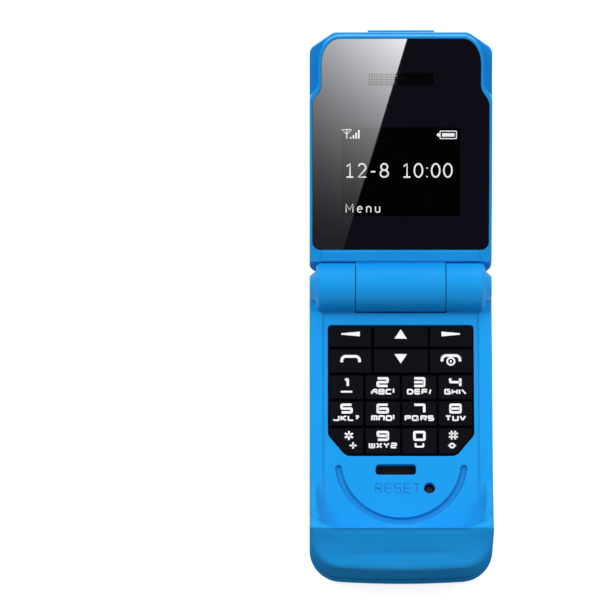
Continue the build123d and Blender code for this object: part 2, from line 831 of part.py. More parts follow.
# ------------------------------------------------------------------ lid inner case
with BuildPart() as lid_inner_case:
    with BuildSketch(lid_plane):
        add(rim_outline())
    extrude(amount=-lid_inner_depth)
    with BuildSketch(axis_plane):
        Circle(shell_r)
    extrude(amount=half_width, both=True, mode=Mode.SUBTRACT)

    # middle barrel and the strap that joins it to the rim
    with BuildSketch(axis_plane):
        Circle(barrel_r)
    extrude(amount=middle_half, both=True)
    with BuildSketch(lid_side):
        with BuildLine():
            Polyline(
                (0, 0),
                (cover_hinge_wall, 0),
                (cover_hinge_wall, -lid_inner_depth),
                (strap_end, -lid_inner_depth),
                (strap_end, -barrel_r),
                (0, -barrel_r),
                close=True,
            )
        make_face()
    extrude(amount=middle_half, both=True)

    # seat of the window, openings behind it, pocket for the display
    with BuildSketch(lid_plane):
        add(window_outline(glass_gap))
    extrude(amount=-glass_floor, mode=Mode.SUBTRACT)
    with BuildSketch(lid_plane.offset(-glass_floor)):
        with Locations((0, sum(view_stations) / 2)):
            Rectangle(2 * view_half, view_stations[1] - view_stations[0])
        with Locations((0, ear_station)):
            RectangleRounded(ear_slot[0] - 2 * ear_rest[0], ear_slot[1] - 2 * ear_rest[1], ear_slot_r)
    extrude(amount=-lid_web, mode=Mode.SUBTRACT)
    with BuildSketch(lid_plane.offset(-web_back)):
        add(rim_outline(-case_wall))
        Rectangle(body_width, 2 * lid_pocket_start, mode=Mode.SUBTRACT)
    extrude(amount=-lid_inner_depth, mode=Mode.SUBTRACT)

    # walls beside the display, with the hooks that hold the cover
    with BuildSketch(lid_plane.offset(-web_back)):
        for side in (1, -1):
            with Locations((side * (hook_wall_half - hook_wall / 2), sum(hook_wall_stations) / 2)):
                Rectangle(hook_wall, hook_wall_stations[1] - hook_wall_stations[0])
    extrude(amount=web_back - hook_depth)
    with BuildSketch(lid_plane.offset(-hook_depth)):
        for side in (1, -1):
            for hook in hook_stations:
                with Locations((side * (hook_lip_half + hook_wall_half - hook_wall) / 2, hook + hook_length / 2)):
                    Rectangle(hook_reach + hook_wall, hook_length)
    extrude(amount=hook_height)

    # bores for the hinge cam unit's shaft and the plain pin
    with BuildSketch(axis_plane.offset(middle_half)):
        Circle(cam_shaft_r + shaft_clearance)
    extrude(amount=-barrel_bore_depth, mode=Mode.SUBTRACT)
    with BuildSketch(axis_plane.offset(-middle_half)):
        Circle(pin_r + shaft_clearance)
    extrude(amount=barrel_bore_depth, mode=Mode.SUBTRACT)
finish(lid_inner_case, "lid_inner_case")

# ------------------------------------------------------------------ lid cover


def is_outer_rim(edge):
    """Whether an edge of the cover lies between its outer face and its side or end walls."""
    middle = lid_plane.to_local_coords(edge.center())
    across = abs(middle.X) < fit_gap
    return middle.Z < fit_gap - lid_end_depth + cover_skin / 2 and (middle.Y > lid_end - fit_gap or not across)


with BuildPart() as cover_hollow:
    with BuildSketch(lid_side):
        with BuildLine():
            Polyline(
                (cover_hinge_wall, 0),
                (cover_hinge_wall, cover_skin - lid_hinge_depth),
                (lid_crown_station, cover_skin - lid_depth),
                (lid_droop_station, cover_skin - lid_depth),
                (lid_end, cover_skin - lid_end_depth),
                (lid_end, 0),
                close=True,
            )
        make_face()
    extrude(amount=half_width, both=True)
    with BuildSketch(lid_plane):
        add(rim_outline(-cover_wall))
    extrude(amount=-lid_depth, mode=Mode.INTERSECT)

with BuildPart() as lid_cover:
    with BuildSketch(lid_side) as cover_side:
        with BuildLine():
            Polyline(
                (0, -lid_inner_depth),
                (lid_end, -lid_inner_depth),
                (lid_end, -lid_end_depth),
                (lid_droop_station, -lid_depth),
                (lid_crown_station, -lid_depth),
                (strap_end, -lid_hinge_depth - hinge_drop),
                (0, -lid_hinge_depth),
                close=True,
            )
        make_face()
        fillet(cover_side.vertices().group_by(Axis.Y)[0], lid_crown_r)
    extrude(amount=half_width, both=True)
    with BuildSketch(lid_plane.offset(-lid_inner_depth)):
        add(cover_outline.sketch)
    extrude(amount=-lid_depth, mode=Mode.INTERSECT)
    fillet(lid_cover.edges().filter_by(is_outer_rim), cover_edge_r)

    # raised plate toward the hinge, thumb tab at the free end
    with BuildSketch(lid_plane.offset(-lid_depth)) as plate:
        with Locations((0, plate_start)):
            Rectangle(2 * plate_half, 2 * lid_crown_station, align=(Align.CENTER, Align.MIN))
        fillet(plate.vertices().group_by(Axis.Y)[0], plate_corner_r)
    extrude(amount=lid_depth - lid_hinge_depth)
    with BuildSketch(lid_plane.offset(-lid_depth - tab_proud)) as tab:
        with Locations((0, tab_start)):
            Rectangle(tab_width, lid_end - tab_start, align=(Align.CENTER, Align.MIN))
    extrude(amount=cover_skin)

    # clear of the hinge barrels and of the strap
    with BuildSketch(axis_plane):
        Circle(shell_r)
    extrude(amount=half_width, both=True, mode=Mode.SUBTRACT)
    with BuildSketch(lid_plane):
        Rectangle(2 * (middle_half + strap_gap), 2 * (strap_end + strap_gap))
    extrude(amount=-2 * lid_depth, mode=Mode.SUBTRACT)
    add(cover_hollow.part, mode=Mode.SUBTRACT)

    # tongues that run under the inner case's hooks
    with BuildSketch(lid_plane.offset(-tongue_depth)):
        for side in (1, -1):
            for hook in hook_stations:
                with Locations((side * tongue_x, hook + hook_length / 2)):
                    Rectangle(tongue_width, hook_length)
    extrude(amount=tongue_height)

    # groove for the trim strip
    with BuildSketch(lid_plane.offset(-lid_depth)):
        with BuildLine():
            FilletPolyline(*trim_path, radius=trim_bend_r)
            offset(amount=trim_width / 2 + trim_groove_gap, side=Side.BOTH)
        make_face()
    extrude(amount=trim_groove_depth, mode=Mode.SUBTRACT)
finish(lid_cover, "lid_cover")

with BuildPart() as trim_strip:
    with BuildSketch(lid_plane.offset(trim_groove_depth - lid_depth)):
        with BuildLine():
            FilletPolyline(*trim_path, radius=trim_bend_r)
            offset(amount=trim_width / 2, side=Side.BOTH)
        make_face()
    extrude(amount=-trim_thickness)
finish(trim_strip, "trim_strip")

# ------------------------------------------------------------------ what the lid carries
with BuildPart() as display_window:
    with BuildSketch(lid_plane.offset(-glass_sink)):
        add(window_outline())
        with Locations((0, ear_station)):
            RectangleRounded(*ear_slot, ear_slot_r, mode=Mode.SUBTRACT)
    extrude(amount=-glass_thickness)
finish(display_window, "display_window")


def make_lid_block(name, size, middle, depth, corner_r=0.3):
    """A block-shaped component in the lid, reaching outward from this depth below the rim."""
    with BuildPart() as block:
        with BuildSketch(lid_plane.offset(-depth)):
            with Locations((0, middle)):
                RectangleRounded(size[0], size[1], corner_r)
        extrude(amount=-size[2])
    finish(block, name)


ear_mesh_size = (ear_slot[0] - 2 * fit_gap, ear_slot[1] - 2 * fit_gap, ear_mesh_thickness)
make_lid_block("earpiece_mesh", ear_mesh_size, ear_station, glass_floor - ear_mesh_thickness)
make_lid_block("earpiece_receiver", receiver_size, ear_station, web_back)
make_lid_block("display_module", display_size, display_station, web_back)
board_depth = web_back + display_size[2]
lid_board_size = (2 * lid_board_half, lid_board_stations[1] - lid_board_stations[0], lid_board_thickness)
make_lid_block("lid_board", lid_board_size, sum(lid_board_stations) / 2, board_depth)

with BuildPart() as card_socket:
    card_plane = lid_plane.offset(-board_depth - lid_board_thickness)
    with BuildSketch(card_plane):
        with Locations((0, card_socket_station)):
            Rectangle(card_socket_size[0], card_socket_size[1])
    extrude(amount=-card_socket_size[2])
    with BuildSketch(card_plane):
        with Locations((0, card_socket_station - card_socket_wall)):
            Rectangle(card_socket_size[0] - 2 * card_socket_wall, card_socket_size[1])
    extrude(amount=card_socket_wall - card_socket_size[2], mode=Mode.SUBTRACT)
finish(card_socket, "card_socket")
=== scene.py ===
"""Looks of the mini flip phone: finishes, key legends, display, trim, screws and studio.

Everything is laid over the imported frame, in its metres. Sizes in the classes are millimetres.
"""

from __future__ import annotations

import json
import logging
import math
from dataclasses import dataclass, field, replace
from enum import Enum

import bmesh
import bpy
from mathutils import Matrix, Vector

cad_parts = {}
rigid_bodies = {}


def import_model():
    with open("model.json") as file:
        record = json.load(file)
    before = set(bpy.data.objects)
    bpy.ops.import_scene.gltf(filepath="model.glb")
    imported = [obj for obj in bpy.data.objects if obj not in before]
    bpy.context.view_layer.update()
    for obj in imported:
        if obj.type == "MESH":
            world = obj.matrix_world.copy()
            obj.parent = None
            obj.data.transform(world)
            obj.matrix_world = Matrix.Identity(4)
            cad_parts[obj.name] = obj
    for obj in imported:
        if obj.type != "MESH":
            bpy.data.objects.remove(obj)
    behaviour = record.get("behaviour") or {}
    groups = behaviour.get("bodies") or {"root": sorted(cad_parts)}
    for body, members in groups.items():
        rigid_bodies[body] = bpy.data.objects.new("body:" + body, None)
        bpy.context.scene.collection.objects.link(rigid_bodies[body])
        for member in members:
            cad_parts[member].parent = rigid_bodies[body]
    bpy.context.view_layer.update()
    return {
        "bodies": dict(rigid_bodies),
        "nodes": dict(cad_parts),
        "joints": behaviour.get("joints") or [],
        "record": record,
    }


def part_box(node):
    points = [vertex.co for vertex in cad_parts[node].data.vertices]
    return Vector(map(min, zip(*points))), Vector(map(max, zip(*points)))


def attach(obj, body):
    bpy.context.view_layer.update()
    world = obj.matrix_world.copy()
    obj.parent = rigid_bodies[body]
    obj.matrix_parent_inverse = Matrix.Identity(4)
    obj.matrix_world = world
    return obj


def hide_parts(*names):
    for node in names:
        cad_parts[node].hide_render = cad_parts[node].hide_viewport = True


log = logging.getLogger("flip_phone")

Point = tuple[float, float]
Triple = tuple[float, float, float]
Path = tuple[list[tuple[float, ...]], bool]

MM = 0.001

# Points that lie nearer to each other than this, in mm, are one point.
WELD = 1e-5


# ---------------------------------------------------------------- nodes and meshes


def linear(hex_colour: str) -> tuple[float, float, float, float]:
    """Turns an sRGB hex colour into the linear one that a shader takes.

    Args:
        hex_colour: Six digits, such as "2f9fef".

    Returns:
        Red, green, blue and alpha.
    """
    parts = [int(hex_colour[place : place + 2], 16) / 255 for place in (0, 2, 4)]
    red, green, blue = (
        part / 12.92 if part <= 0.04045 else ((part + 0.055) / 1.055) ** 2.4 for part in parts
    )
    return red, green, blue, 1.0


def add_node(
    tree: bpy.types.NodeTree,
    kind: str,
    settings: dict | None = None,
    values: dict | None = None,
    links: dict | None = None,
) -> bpy.types.Node:
    """Adds one node with its settings, socket values and links.

    Args:
        tree: The shader or geometry tree that gets the node.
        kind: Blender's name for the node.
        settings: Properties of the node itself.
        values: Values for input sockets, by name or number.
        links: Output sockets that feed input sockets, by name or number.

    Returns:
        The new node.
    """
    node = tree.nodes.new(kind)
    for name, value in (settings or {}).items():
        setattr(node, name, value)
    for socket, value in (values or {}).items():
        node.inputs[socket].default_value = value
    for socket, source in (links or {}).items():
        tree.links.new(source, node.inputs[socket])
    return node


def empty_tree(holder: bpy.types.Material | bpy.types.World) -> bpy.types.NodeTree:
    """Clears the nodes of a new material or world.

    Args:
        holder: The material or world.

    Returns:
        Its tree, with nothing in it.
    """
    holder.use_nodes = True
    holder.node_tree.nodes.clear()
    return holder.node_tree


def in_scene(name: str, data: bpy.types.ID) -> bpy.types.Object:
    """Makes an object of a mesh, lamp or camera and puts it in the scene.

    Args:
        name: Name of the object.
        data: The mesh, lamp or camera.

    Returns:
        The object.
    """
    thing = bpy.data.objects.new(name, data)
    bpy.context.scene.collection.objects.link(thing)
    return thing


def merged(name: str, meshes: list[bpy.types.Mesh]) -> bpy.types.Mesh:
    """Joins meshes that share one finish.

    Args:
        name: Name of the joined mesh.
        meshes: The parts, each already in its place. They are used up.

    Returns:
        One mesh with the first part's material.
    """
    whole = bmesh.new()
    for part in meshes:
        whole.from_mesh(part)
    mesh = bpy.data.meshes.new(name)
    whole.to_mesh(mesh)
    whole.free()
    for material in meshes[0].materials:
        mesh.materials.append(material)
    for part in meshes:
        bpy.data.meshes.remove(part)
    return mesh


def prism(
    points: list[Point], low: float, high: float, crown: list[Point] | None = None
) -> bpy.types.Mesh:
    """Makes a plate, straight-sided or sloping in to its top.

    Args:
        points: Corners of its outline, anticlockwise.
        low: Height of its underside.
        high: Height of its top.
        crown: Corners of its top, as many again, where they differ.

    Returns:
        A closed mesh in the drawing's millimetres.
    """
    count = len(points)
    corners = [(x, y, low) for x, y in points] + [(x, y, high) for x, y in crown or points]
    floor, top = tuple(reversed(range(count))), tuple(range(count, 2 * count))
    afters = [(place + 1) % count for place in range(count)]
    sides = [(place, after, after + count, place + count) for place, after in enumerate(afters)]
    mesh = bpy.data.meshes.new("plate")
    mesh.from_pydata(corners, [], [floor, top, *sides])
    return mesh


def turned(profile: list[Point], steps: int) -> bpy.types.Mesh:
    """Makes a turned part by carrying a profile round the vertical axis.

    Args:
        profile: Radius and height of each point, from one end of the axis to the other.
        steps: Flats round the axis.

    Returns:
        A closed mesh in the drawing's millimetres.
    """
    shape = bmesh.new()
    turns = [math.tau * step / steps for step in range(steps)]
    spokes = [(math.cos(turn), math.sin(turn)) for turn in turns]
    rings = [
        [shape.verts.new((radius * x, radius * y, height)) for x, y in spokes]
        for radius, height in profile
    ]
    for lower, upper in zip(rings, rings[1:]):
        for step in range(steps):
            after = (step + 1) % steps
            shape.faces.new((lower[step], lower[after], upper[after], upper[step]))
    bmesh.ops.remove_doubles(shape, verts=shape.verts, dist=WELD)
    bmesh.ops.recalc_face_normals(shape, faces=shape.faces)
    mesh = bpy.data.meshes.new("turned")
    shape.to_mesh(mesh)
    shape.free()
    return mesh


def path_mesh(paths: list[Path]) -> bpy.types.Mesh:
    """Makes a mesh of edges only, for a strip to be swept along.

    Args:
        paths: Points of each path, and whether the path closes.

    Returns:
        The edges, in the drawing's millimetres.
    """
    corners: list[tuple[float, float, float]] = []
    edges: list[tuple[int, int]] = []
    for points, closed in paths:
        first = len(corners)
        corners += [(point[0], point[1], point[2] if len(point) > 2 else 0.0) for point in points]
        edges += [(place, place + 1) for place in range(first, len(corners) - 1)]
        if closed:
            edges.append((len(corners) - 1, first))
    mesh = bpy.data.meshes.new("path")
    mesh.from_pydata(corners, edges, [])
    return mesh


# ---------------------------------------------------------------- geometry nodes


@dataclass
class GrowthTree:
    """A geometry node tree with named inputs, and the way to grow a plain mesh from it."""

    name: str
    tree: bpy.types.NodeTree = field(init=False)
    entry: bpy.types.Node = field(init=False)

    def __post_init__(self) -> None:
        """Opens the tree with its way in."""
        self.tree = bpy.data.node_groups.new(self.name, "GeometryNodeTree")
        for way in ("INPUT", "OUTPUT"):
            self.tree.interface.new_socket(
                "Geometry", in_out=way, socket_type="NodeSocketGeometry"
            )
        self.entry = add_node(self.tree, "NodeGroupInput")

    def socket(self, name: str, kind: str) -> None:
        """Adds a named input to the tree."""
        self.tree.interface.new_socket(name, in_out="INPUT", socket_type=f"NodeSocket{kind}")

    def close(self, shape: bpy.types.NodeSocket) -> None:
        """Ends the tree in real geometry that carries its finish.

        Args:
            shape: The output that holds the finished shape.
        """
        real = add_node(self.tree, "GeometryNodeRealizeInstances", links={"Geometry": shape})
        dressed = add_node(
            self.tree,
            "GeometryNodeSetMaterial",
            links={"Geometry": real.outputs[0], "Material": self.entry.outputs["Finish"]},
        )
        add_node(self.tree, "NodeGroupOutput", links={0: dressed.outputs[0]})

    def grow(self, source: bpy.types.Mesh, **inputs: object) -> bpy.types.Mesh:
        """Grows a plain mesh from a source mesh.

        Args:
            source: The mesh that goes into the tree. It is used up.
            inputs: Values of the tree's inputs, with _ for each space in their names.

        Returns:
            The evaluated mesh, free of modifiers.
        """
        carrier = in_scene(self.name, source)
        modifier = carrier.modifiers.new(self.name, "NODES")
        modifier.node_group = self.tree
        wanted = {name.replace("_", " "): value for name, value in inputs.items()}
        for item in self.tree.interface.items_tree:
            if item.item_type == "SOCKET" and item.in_out == "INPUT" and item.name in wanted:
                modifier[item.identifier] = wanted[item.name]
        graph = bpy.context.evaluated_depsgraph_get()
        mesh = bpy.data.meshes.new_from_object(
            carrier.evaluated_get(graph), preserve_all_data_layers=True, depsgraph=graph
        )
        bpy.data.objects.remove(carrier)
        bpy.data.meshes.remove(source)
        return mesh


class SweptStrip(GrowthTree):
    """A strip with eased edges, swept along every path of the source."""

    def __init__(self) -> None:
        """Builds the tree: path, rounded bends, flat profile, sweep."""
        super().__init__("swept_strip")
        for name, kind in (
            ("Strip Width", "Float"),
            ("Strip Height", "Float"),
            ("Edge Radius", "Float"),
            ("Bend Radius", "Float"),
            ("Bend Steps", "Int"),
            ("Finish", "Material"),
        ):
            self.socket(name, kind)
        tree, entry = self.tree, self.entry
        path = add_node(tree, "GeometryNodeMeshToCurve", links={"Mesh": entry.outputs["Geometry"]})
        bends = add_node(
            tree,
            "GeometryNodeFilletCurve",
            {"mode": "POLY"},
            {"Limit Radius": True},
            {
                "Curve": path.outputs[0],
                "Radius": entry.outputs["Bend Radius"],
                "Count": entry.outputs["Bend Steps"],
            },
        )
        level = add_node(
            tree, "GeometryNodeSetCurveNormal", {"mode": "Z_UP"}, links={"Curve": bends.outputs[0]}
        )
        along = add_node(tree, "GeometryNodeSplineParameter")
        run = add_node(
            tree,
            "GeometryNodeStoreNamedAttribute",
            {"data_type": "FLOAT", "domain": "POINT"},
            {"Name": "run"},
            {"Geometry": level.outputs[0], "Value": along.outputs["Length"]},
        )
        profile = add_node(
            tree,
            "GeometryNodeCurvePrimitiveQuadrilateral",
            links={"Width": entry.outputs["Strip Width"], "Height": entry.outputs["Strip Height"]},
        )
        eased = add_node(
            tree,
            "GeometryNodeFilletCurve",
            {"mode": "POLY"},
            {"Count": 3, "Limit Radius": True},
            {"Curve": profile.outputs[0], "Radius": entry.outputs["Edge Radius"]},
        )
        across = add_node(tree, "GeometryNodeInputPosition")
        parts = add_node(tree, "ShaderNodeSeparateXYZ", links={0: across.outputs[0]})
        lane = add_node(
            tree,
            "GeometryNodeStoreNamedAttribute",
            {"data_type": "FLOAT", "domain": "POINT"},
            {"Name": "lane"},
            {"Geometry": eased.outputs[0], "Value": parts.outputs["X"]},
        )
        strip = add_node(
            tree,
            "GeometryNodeCurveToMesh",
            values={"Fill Caps": True},
            links={"Curve": run.outputs[0], "Profile Curve": lane.outputs[0]},
        )
        self.close(strip.outputs[0])


class PartGrid(GrowthTree):
    """Copies of the source part, set out in columns and rows."""

    def __init__(self) -> None:
        """Builds the tree: grid of points, one copy on each, every other one turned over."""
        super().__init__("part_grid")
        for name, kind in (
            ("Columns", "Int"),
            ("Rows", "Int"),
            ("Column Step", "Float"),
            ("Row Step", "Float"),
            ("Middle", "Vector"),
            ("Alternate Turn", "Float"),
            ("Random Turn", "Float"),
            ("Seed", "Int"),
            ("Finish", "Material"),
        ):
            self.socket(name, kind)
        tree, entry = self.tree, self.entry
        spans = []
        for count, step in (("Columns", "Column Step"), ("Rows", "Row Step")):
            gaps = add_node(
                tree,
                "ShaderNodeMath",
                {"operation": "SUBTRACT"},
                {1: 1.0},
                {0: entry.outputs[count]},
            )
            spans.append(
                add_node(
                    tree,
                    "ShaderNodeMath",
                    {"operation": "MULTIPLY"},
                    links={0: gaps.outputs[0], 1: entry.outputs[step]},
                )
            )
        grid = add_node(
            tree,
            "GeometryNodeMeshGrid",
            links={
                "Size X": spans[0].outputs[0],
                "Size Y": spans[1].outputs[0],
                "Vertices X": entry.outputs["Columns"],
                "Vertices Y": entry.outputs["Rows"],
            },
        )
        placed = add_node(
            tree,
            "GeometryNodeTransform",
            links={"Geometry": grid.outputs[0], "Translation": entry.outputs["Middle"]},
        )
        number = add_node(tree, "GeometryNodeInputIndex")
        odd = add_node(
            tree, "ShaderNodeMath", {"operation": "MODULO"}, {1: 2.0}, {0: number.outputs[0]}
        )
        over = add_node(
            tree,
            "ShaderNodeMath",
            {"operation": "MULTIPLY"},
            links={0: odd.outputs[0], 1: entry.outputs["Alternate Turn"]},
        )
        chance = add_node(
            tree,
            "FunctionNodeRandomValue",
            {"data_type": "FLOAT"},
            links={"Max": entry.outputs["Random Turn"], "Seed": entry.outputs["Seed"]},
        )
        turn = add_node(
            tree,
            "ShaderNodeCombineXYZ",
            links={"X": over.outputs[0], "Z": chance.outputs["Value"]},
        )
        copies = add_node(
            tree,
            "GeometryNodeInstanceOnPoints",
            links={
                "Points": placed.outputs[0],
                "Instance": entry.outputs["Geometry"],
                "Rotation": turn.outputs[0],
            },
        )
        self.close(copies.outputs[0])


# ---------------------------------------------------------------- finishes


class Pattern(Enum):
    """How the surface was made, which decides the fine relief that it shows."""

    PEEL = "sprayed lacquer"
    MOULD = "texture of a mould"
    BRUSHED = "brushed along its length"
    WOVEN = "woven threads"
    FLAT = "polished"


@dataclass(frozen=True)
class WideRound:
    """Where a moulding's edges are rounded more widely: past a line, and sooner along its sides."""

    radius: float
    line: float
    side_line: float
    side: float
    fade: float

    def ramp(
        self, tree: bpy.types.NodeTree, value: bpy.types.NodeSocket, start: float, end: float
    ) -> bpy.types.NodeSocket:
        """Rises from 0 to 1 as a coordinate goes from one place to another.

        Args:
            tree: The material's tree.
            value: The coordinate, in metres.
            start: Where it starts, in mm.
            end: Where it ends, in mm.

        Returns:
            The rise.
        """
        limits = {"From Min": start * MM, "From Max": end * MM}
        node = add_node(tree, "ShaderNodeMapRange", values=limits, links={"Value": value})
        return node.outputs[0]

    def reach(
        self, tree: bpy.types.NodeTree, place: bpy.types.NodeSocket, narrow: float
    ) -> bpy.types.NodeSocket:
        """Gives the radius of the rounds at each place.

        Args:
            tree: The material's tree.
            place: Object coordinates, in metres.
            narrow: Radius everywhere else, in mm.

        Returns:
            The radius, in metres.
        """
        split = add_node(tree, "ShaderNodeSeparateXYZ", links={0: place})
        across = add_node(
            tree, "ShaderNodeMath", {"operation": "ABSOLUTE"}, links={0: split.outputs["X"]}
        )
        past = self.ramp(tree, split.outputs["Y"], self.line + self.fade / 2, self.line)
        beside = self.ramp(tree, across.outputs[0], self.side - self.fade, self.side)
        early = self.ramp(tree, split.outputs["Y"], self.side_line + self.fade, self.side_line)
        both = add_node(
            tree, "ShaderNodeMath", {"operation": "MULTIPLY"}, links={0: beside, 1: early}
        )
        share = add_node(
            tree, "ShaderNodeMath", {"operation": "MAXIMUM"}, links={0: past, 1: both.outputs[0]}
        )
        return add_node(
            tree,
            "ShaderNodeMapRange",
            values={"To Min": narrow * MM, "To Max": self.radius * MM},
            links={"Value": share.outputs[0]},
        ).outputs[0]


# Octaves of noise: in a colour's clouds and brush marks, in orange peel, and in polish.
CLOUD_DETAIL = 3.0
PEEL_DETAIL = 4.0
POLISH_DETAIL = 1.0

# Length of a brush mark, in mm.
BRUSH_MARK = 4.0

# Half waves, one to a thread, in a length of one over the wave texture's scale, and how
# unevenly the threads lie.
WAVE_BANDS = 6.5
THREAD_DRIFT = 0.3

# Rays that round an edge in shading.
EDGE_SAMPLES = 8


@dataclass(frozen=True)
class Finish:
    """One finish of the phone. Sizes are millimetres."""

    name: str
    colour: str
    shade: str
    pattern: Pattern
    roughness: float
    roughness_spread: float = 0.05
    ior: float = 1.5
    metallic: float = 0.0
    specular: float = 0.5
    glow: float = 0.0
    cloud: float = 6.0
    grain: float = 0.4
    relief: float = 0.004
    edge: float = 0.0
    wide: WideRound | None = None

    def relief_height(
        self, tree: bpy.types.NodeTree, place: bpy.types.NodeSocket
    ) -> bpy.types.NodeSocket:
        """Lays the fine relief of the way the surface was made.

        Args:
            tree: The material's tree.
            place: Object coordinates, in metres.

        Returns:
            Height of the relief, from 0 to 1.
        """
        scale = 1 / (self.grain * MM)
        if self.pattern is Pattern.BRUSHED:
            run = add_node(tree, "ShaderNodeAttribute", {"attribute_name": "run"})
            lane = add_node(tree, "ShaderNodeAttribute", {"attribute_name": "lane"})
            lines = add_node(
                tree,
                "ShaderNodeCombineXYZ",
                links={"X": run.outputs["Fac"], "Y": lane.outputs["Fac"]},
            )
            drawn = add_node(
                tree,
                "ShaderNodeMapping",
                values={"Scale": (1 / BRUSH_MARK, 1 / self.grain, 1.0)},
                links={"Vector": lines.outputs[0]},
            )
            return add_node(
                tree,
                "ShaderNodeTexNoise",
                values={"Scale": 1.0, "Detail": CLOUD_DETAIL},
                links={"Vector": drawn.outputs[0]},
            ).outputs["Fac"]
        if self.pattern is Pattern.WOVEN:
            threads = [
                add_node(
                    tree,
                    "ShaderNodeTexWave",
                    {"bands_direction": direction, "wave_profile": "SIN"},
                    {"Scale": scale / WAVE_BANDS, "Distortion": THREAD_DRIFT},
                    {"Vector": place},
                )
                for direction in ("X", "Y")
            ]
            return add_node(
                tree,
                "ShaderNodeMath",
                {"operation": "MAXIMUM"},
                links={0: threads[0].outputs["Fac"], 1: threads[1].outputs["Fac"]},
            ).outputs[0]
        if self.pattern is Pattern.MOULD:
            return add_node(
                tree,
                "ShaderNodeTexVoronoi",
                {"feature": "SMOOTH_F1"},
                {"Scale": scale},
                {"Vector": place},
            ).outputs["Distance"]
        detail = PEEL_DETAIL if self.pattern is Pattern.PEEL else POLISH_DETAIL
        return add_node(
            tree,
            "ShaderNodeTexNoise",
            values={"Scale": scale, "Detail": detail},
            links={"Vector": place},
        ).outputs["Fac"]

    def material(self) -> bpy.types.Material:
        """Builds the finish's material.

        Returns:
            The material, named for the finish.
        """
        material = bpy.data.materials.new(self.name)
        tree = empty_tree(material)
        place = add_node(tree, "ShaderNodeTexCoord").outputs["Object"]
        clouds = add_node(
            tree,
            "ShaderNodeTexNoise",
            values={"Scale": 1 / (self.cloud * MM), "Detail": CLOUD_DETAIL},
            links={"Vector": place},
        )
        tint = add_node(
            tree,
            "ShaderNodeMix",
            {"data_type": "RGBA"},
            {6: linear(self.colour), 7: linear(self.shade)},
            {0: clouds.outputs["Fac"]},
        )
        height = self.relief_height(tree, place)
        sheen = add_node(
            tree,
            "ShaderNodeMapRange",
            values={
                "To Min": max(0.0, self.roughness - self.roughness_spread),
                "To Max": self.roughness + self.roughness_spread,
            },
            links={"Value": height},
        )
        bump = add_node(
            tree,
            "ShaderNodeBump",
            values={"Strength": 1.0, "Distance": self.relief * MM},
            links={"Height": height},
        )
        if self.edge:
            eased = add_node(
                tree, "ShaderNodeBevel", {"samples": EDGE_SAMPLES}, {"Radius": self.edge * MM}
            )
            tree.links.new(eased.outputs[0], bump.inputs["Normal"])
            if self.wide:
                tree.links.new(self.wide.reach(tree, place, self.edge), eased.inputs["Radius"])
        surface = add_node(
            tree,
            "ShaderNodeBsdfPrincipled",
            values={
                "Metallic": self.metallic,
                "IOR": self.ior,
                "Specular IOR Level": self.specular,
                "Emission Color": linear(self.colour),
                "Emission Strength": self.glow,
            },
            links={
                "Base Color": tint.outputs[2],
                "Roughness": sheen.outputs[0],
                "Normal": bump.outputs[0],
            },
        )
        add_node(tree, "ShaderNodeOutputMaterial", links={"Surface": surface.outputs[0]})
        return material


# Moulded ABS sprayed with a satin lacquer: even, saturated blue with a soft, wide highlight, a
# faint orange peel about 0.6 mm across and edges rounded a quarter of a millimetre by the mould.
SATIN_BLUE = Finish(
    "satin_blue_lacquer",
    "1296e2",
    "0f90da",
    Pattern.PEEL,
    roughness=0.38,
    roughness_spread=0.03,
    specular=0.22,
    cloud=9.0,
    grain=0.6,
    relief=0.0012,
    edge=0.28,
)

# The same lacquer on the front case, whose mould has wider rounds at the chin and its arms.
ROUNDED_BLUE = replace(
    SATIN_BLUE, name="rounded_blue_lacquer", edge=0.32, wide=WideRound(1.6, -16.9, -10.0, 11.2, 1.4)
)

# The same lacquer on the crisp edges of a low raised form.
CRISP_BLUE = replace(SATIN_BLUE, name="crisp_blue_lacquer", edge=0.06)

# The same lacquer painted a shade deeper for pressed lettering and the hinge washers. This is
# painted shade, because the strokes and rings lie in shade.
PAINTED_SHADE_BLUE = Finish(
    "painted_shade_blue_lacquer",
    "0f78c4",
    "0d70b8",
    Pattern.PEEL,
    roughness=0.5,
    roughness_spread=0.04,
    specular=0.3,
    grain=0.4,
    relief=0.002,
)

# The floor of a shallow pressing: the lacquer again, painted hardly darker than the face round it
# as light painted shade.
LIGHT_PAINTED_SHADE_BLUE = replace(PAINTED_SHADE_BLUE, name="light_painted_shade_blue_lacquer", colour="1289d6", shade="1083cc")

# The bottom of a narrow pressed line: the lacquer painted darkest there, as painted shade.
DEEP_PAINTED_SHADE_BLUE = replace(PAINTED_SHADE_BLUE, name="deep_painted_shade_blue_lacquer", colour="0a63a8", shade="095b9c")

# Cast acrylic, black at the back and polished in front: a near-black sheet that mirrors sharply.
GLOSS_ACRYLIC = Finish(
    "black_backed_acrylic",
    "12111a",
    "100f17",
    Pattern.FLAT,
    roughness=0.006,
    roughness_spread=0.003,
    ior=1.49,
    specular=0.55,
    cloud=12.0,
    grain=8.0,
    relief=0.0,
)

# The display's polariser under the acrylic: blacker than the print round it.
DARK_DISPLAY = Finish(
    "dark_display_film",
    "020202",
    "040403",
    Pattern.FLAT,
    roughness=0.008,
    roughness_spread=0.004,
    ior=1.49,
    specular=0.5,
    grain=5.0,
    relief=0.0,
)

# Lit picture elements: soft white light that doesn't depend on the lamps.
LIT_PIXELS = Finish(
    "lit_white_pixels",
    "d4d7d9",
    "c9cdd0",
    Pattern.FLAT,
    roughness=0.08,
    roughness_spread=0.02,
    specular=0.3,
    glow=0.45,
    grain=0.2,
    relief=0.0002,
)

# Moulded polycarbonate key caps under clear lacquer: deep black, soft glints along the edges.
BLACK_KEY_LACQUER = Finish(
    "black_key_lacquer",
    "07070d",
    "05050a",
    Pattern.PEEL,
    roughness=0.3,
    roughness_spread=0.05,
    specular=0.06,
    cloud=4.0,
    grain=0.5,
    relief=0.001,
    edge=0.1,
)

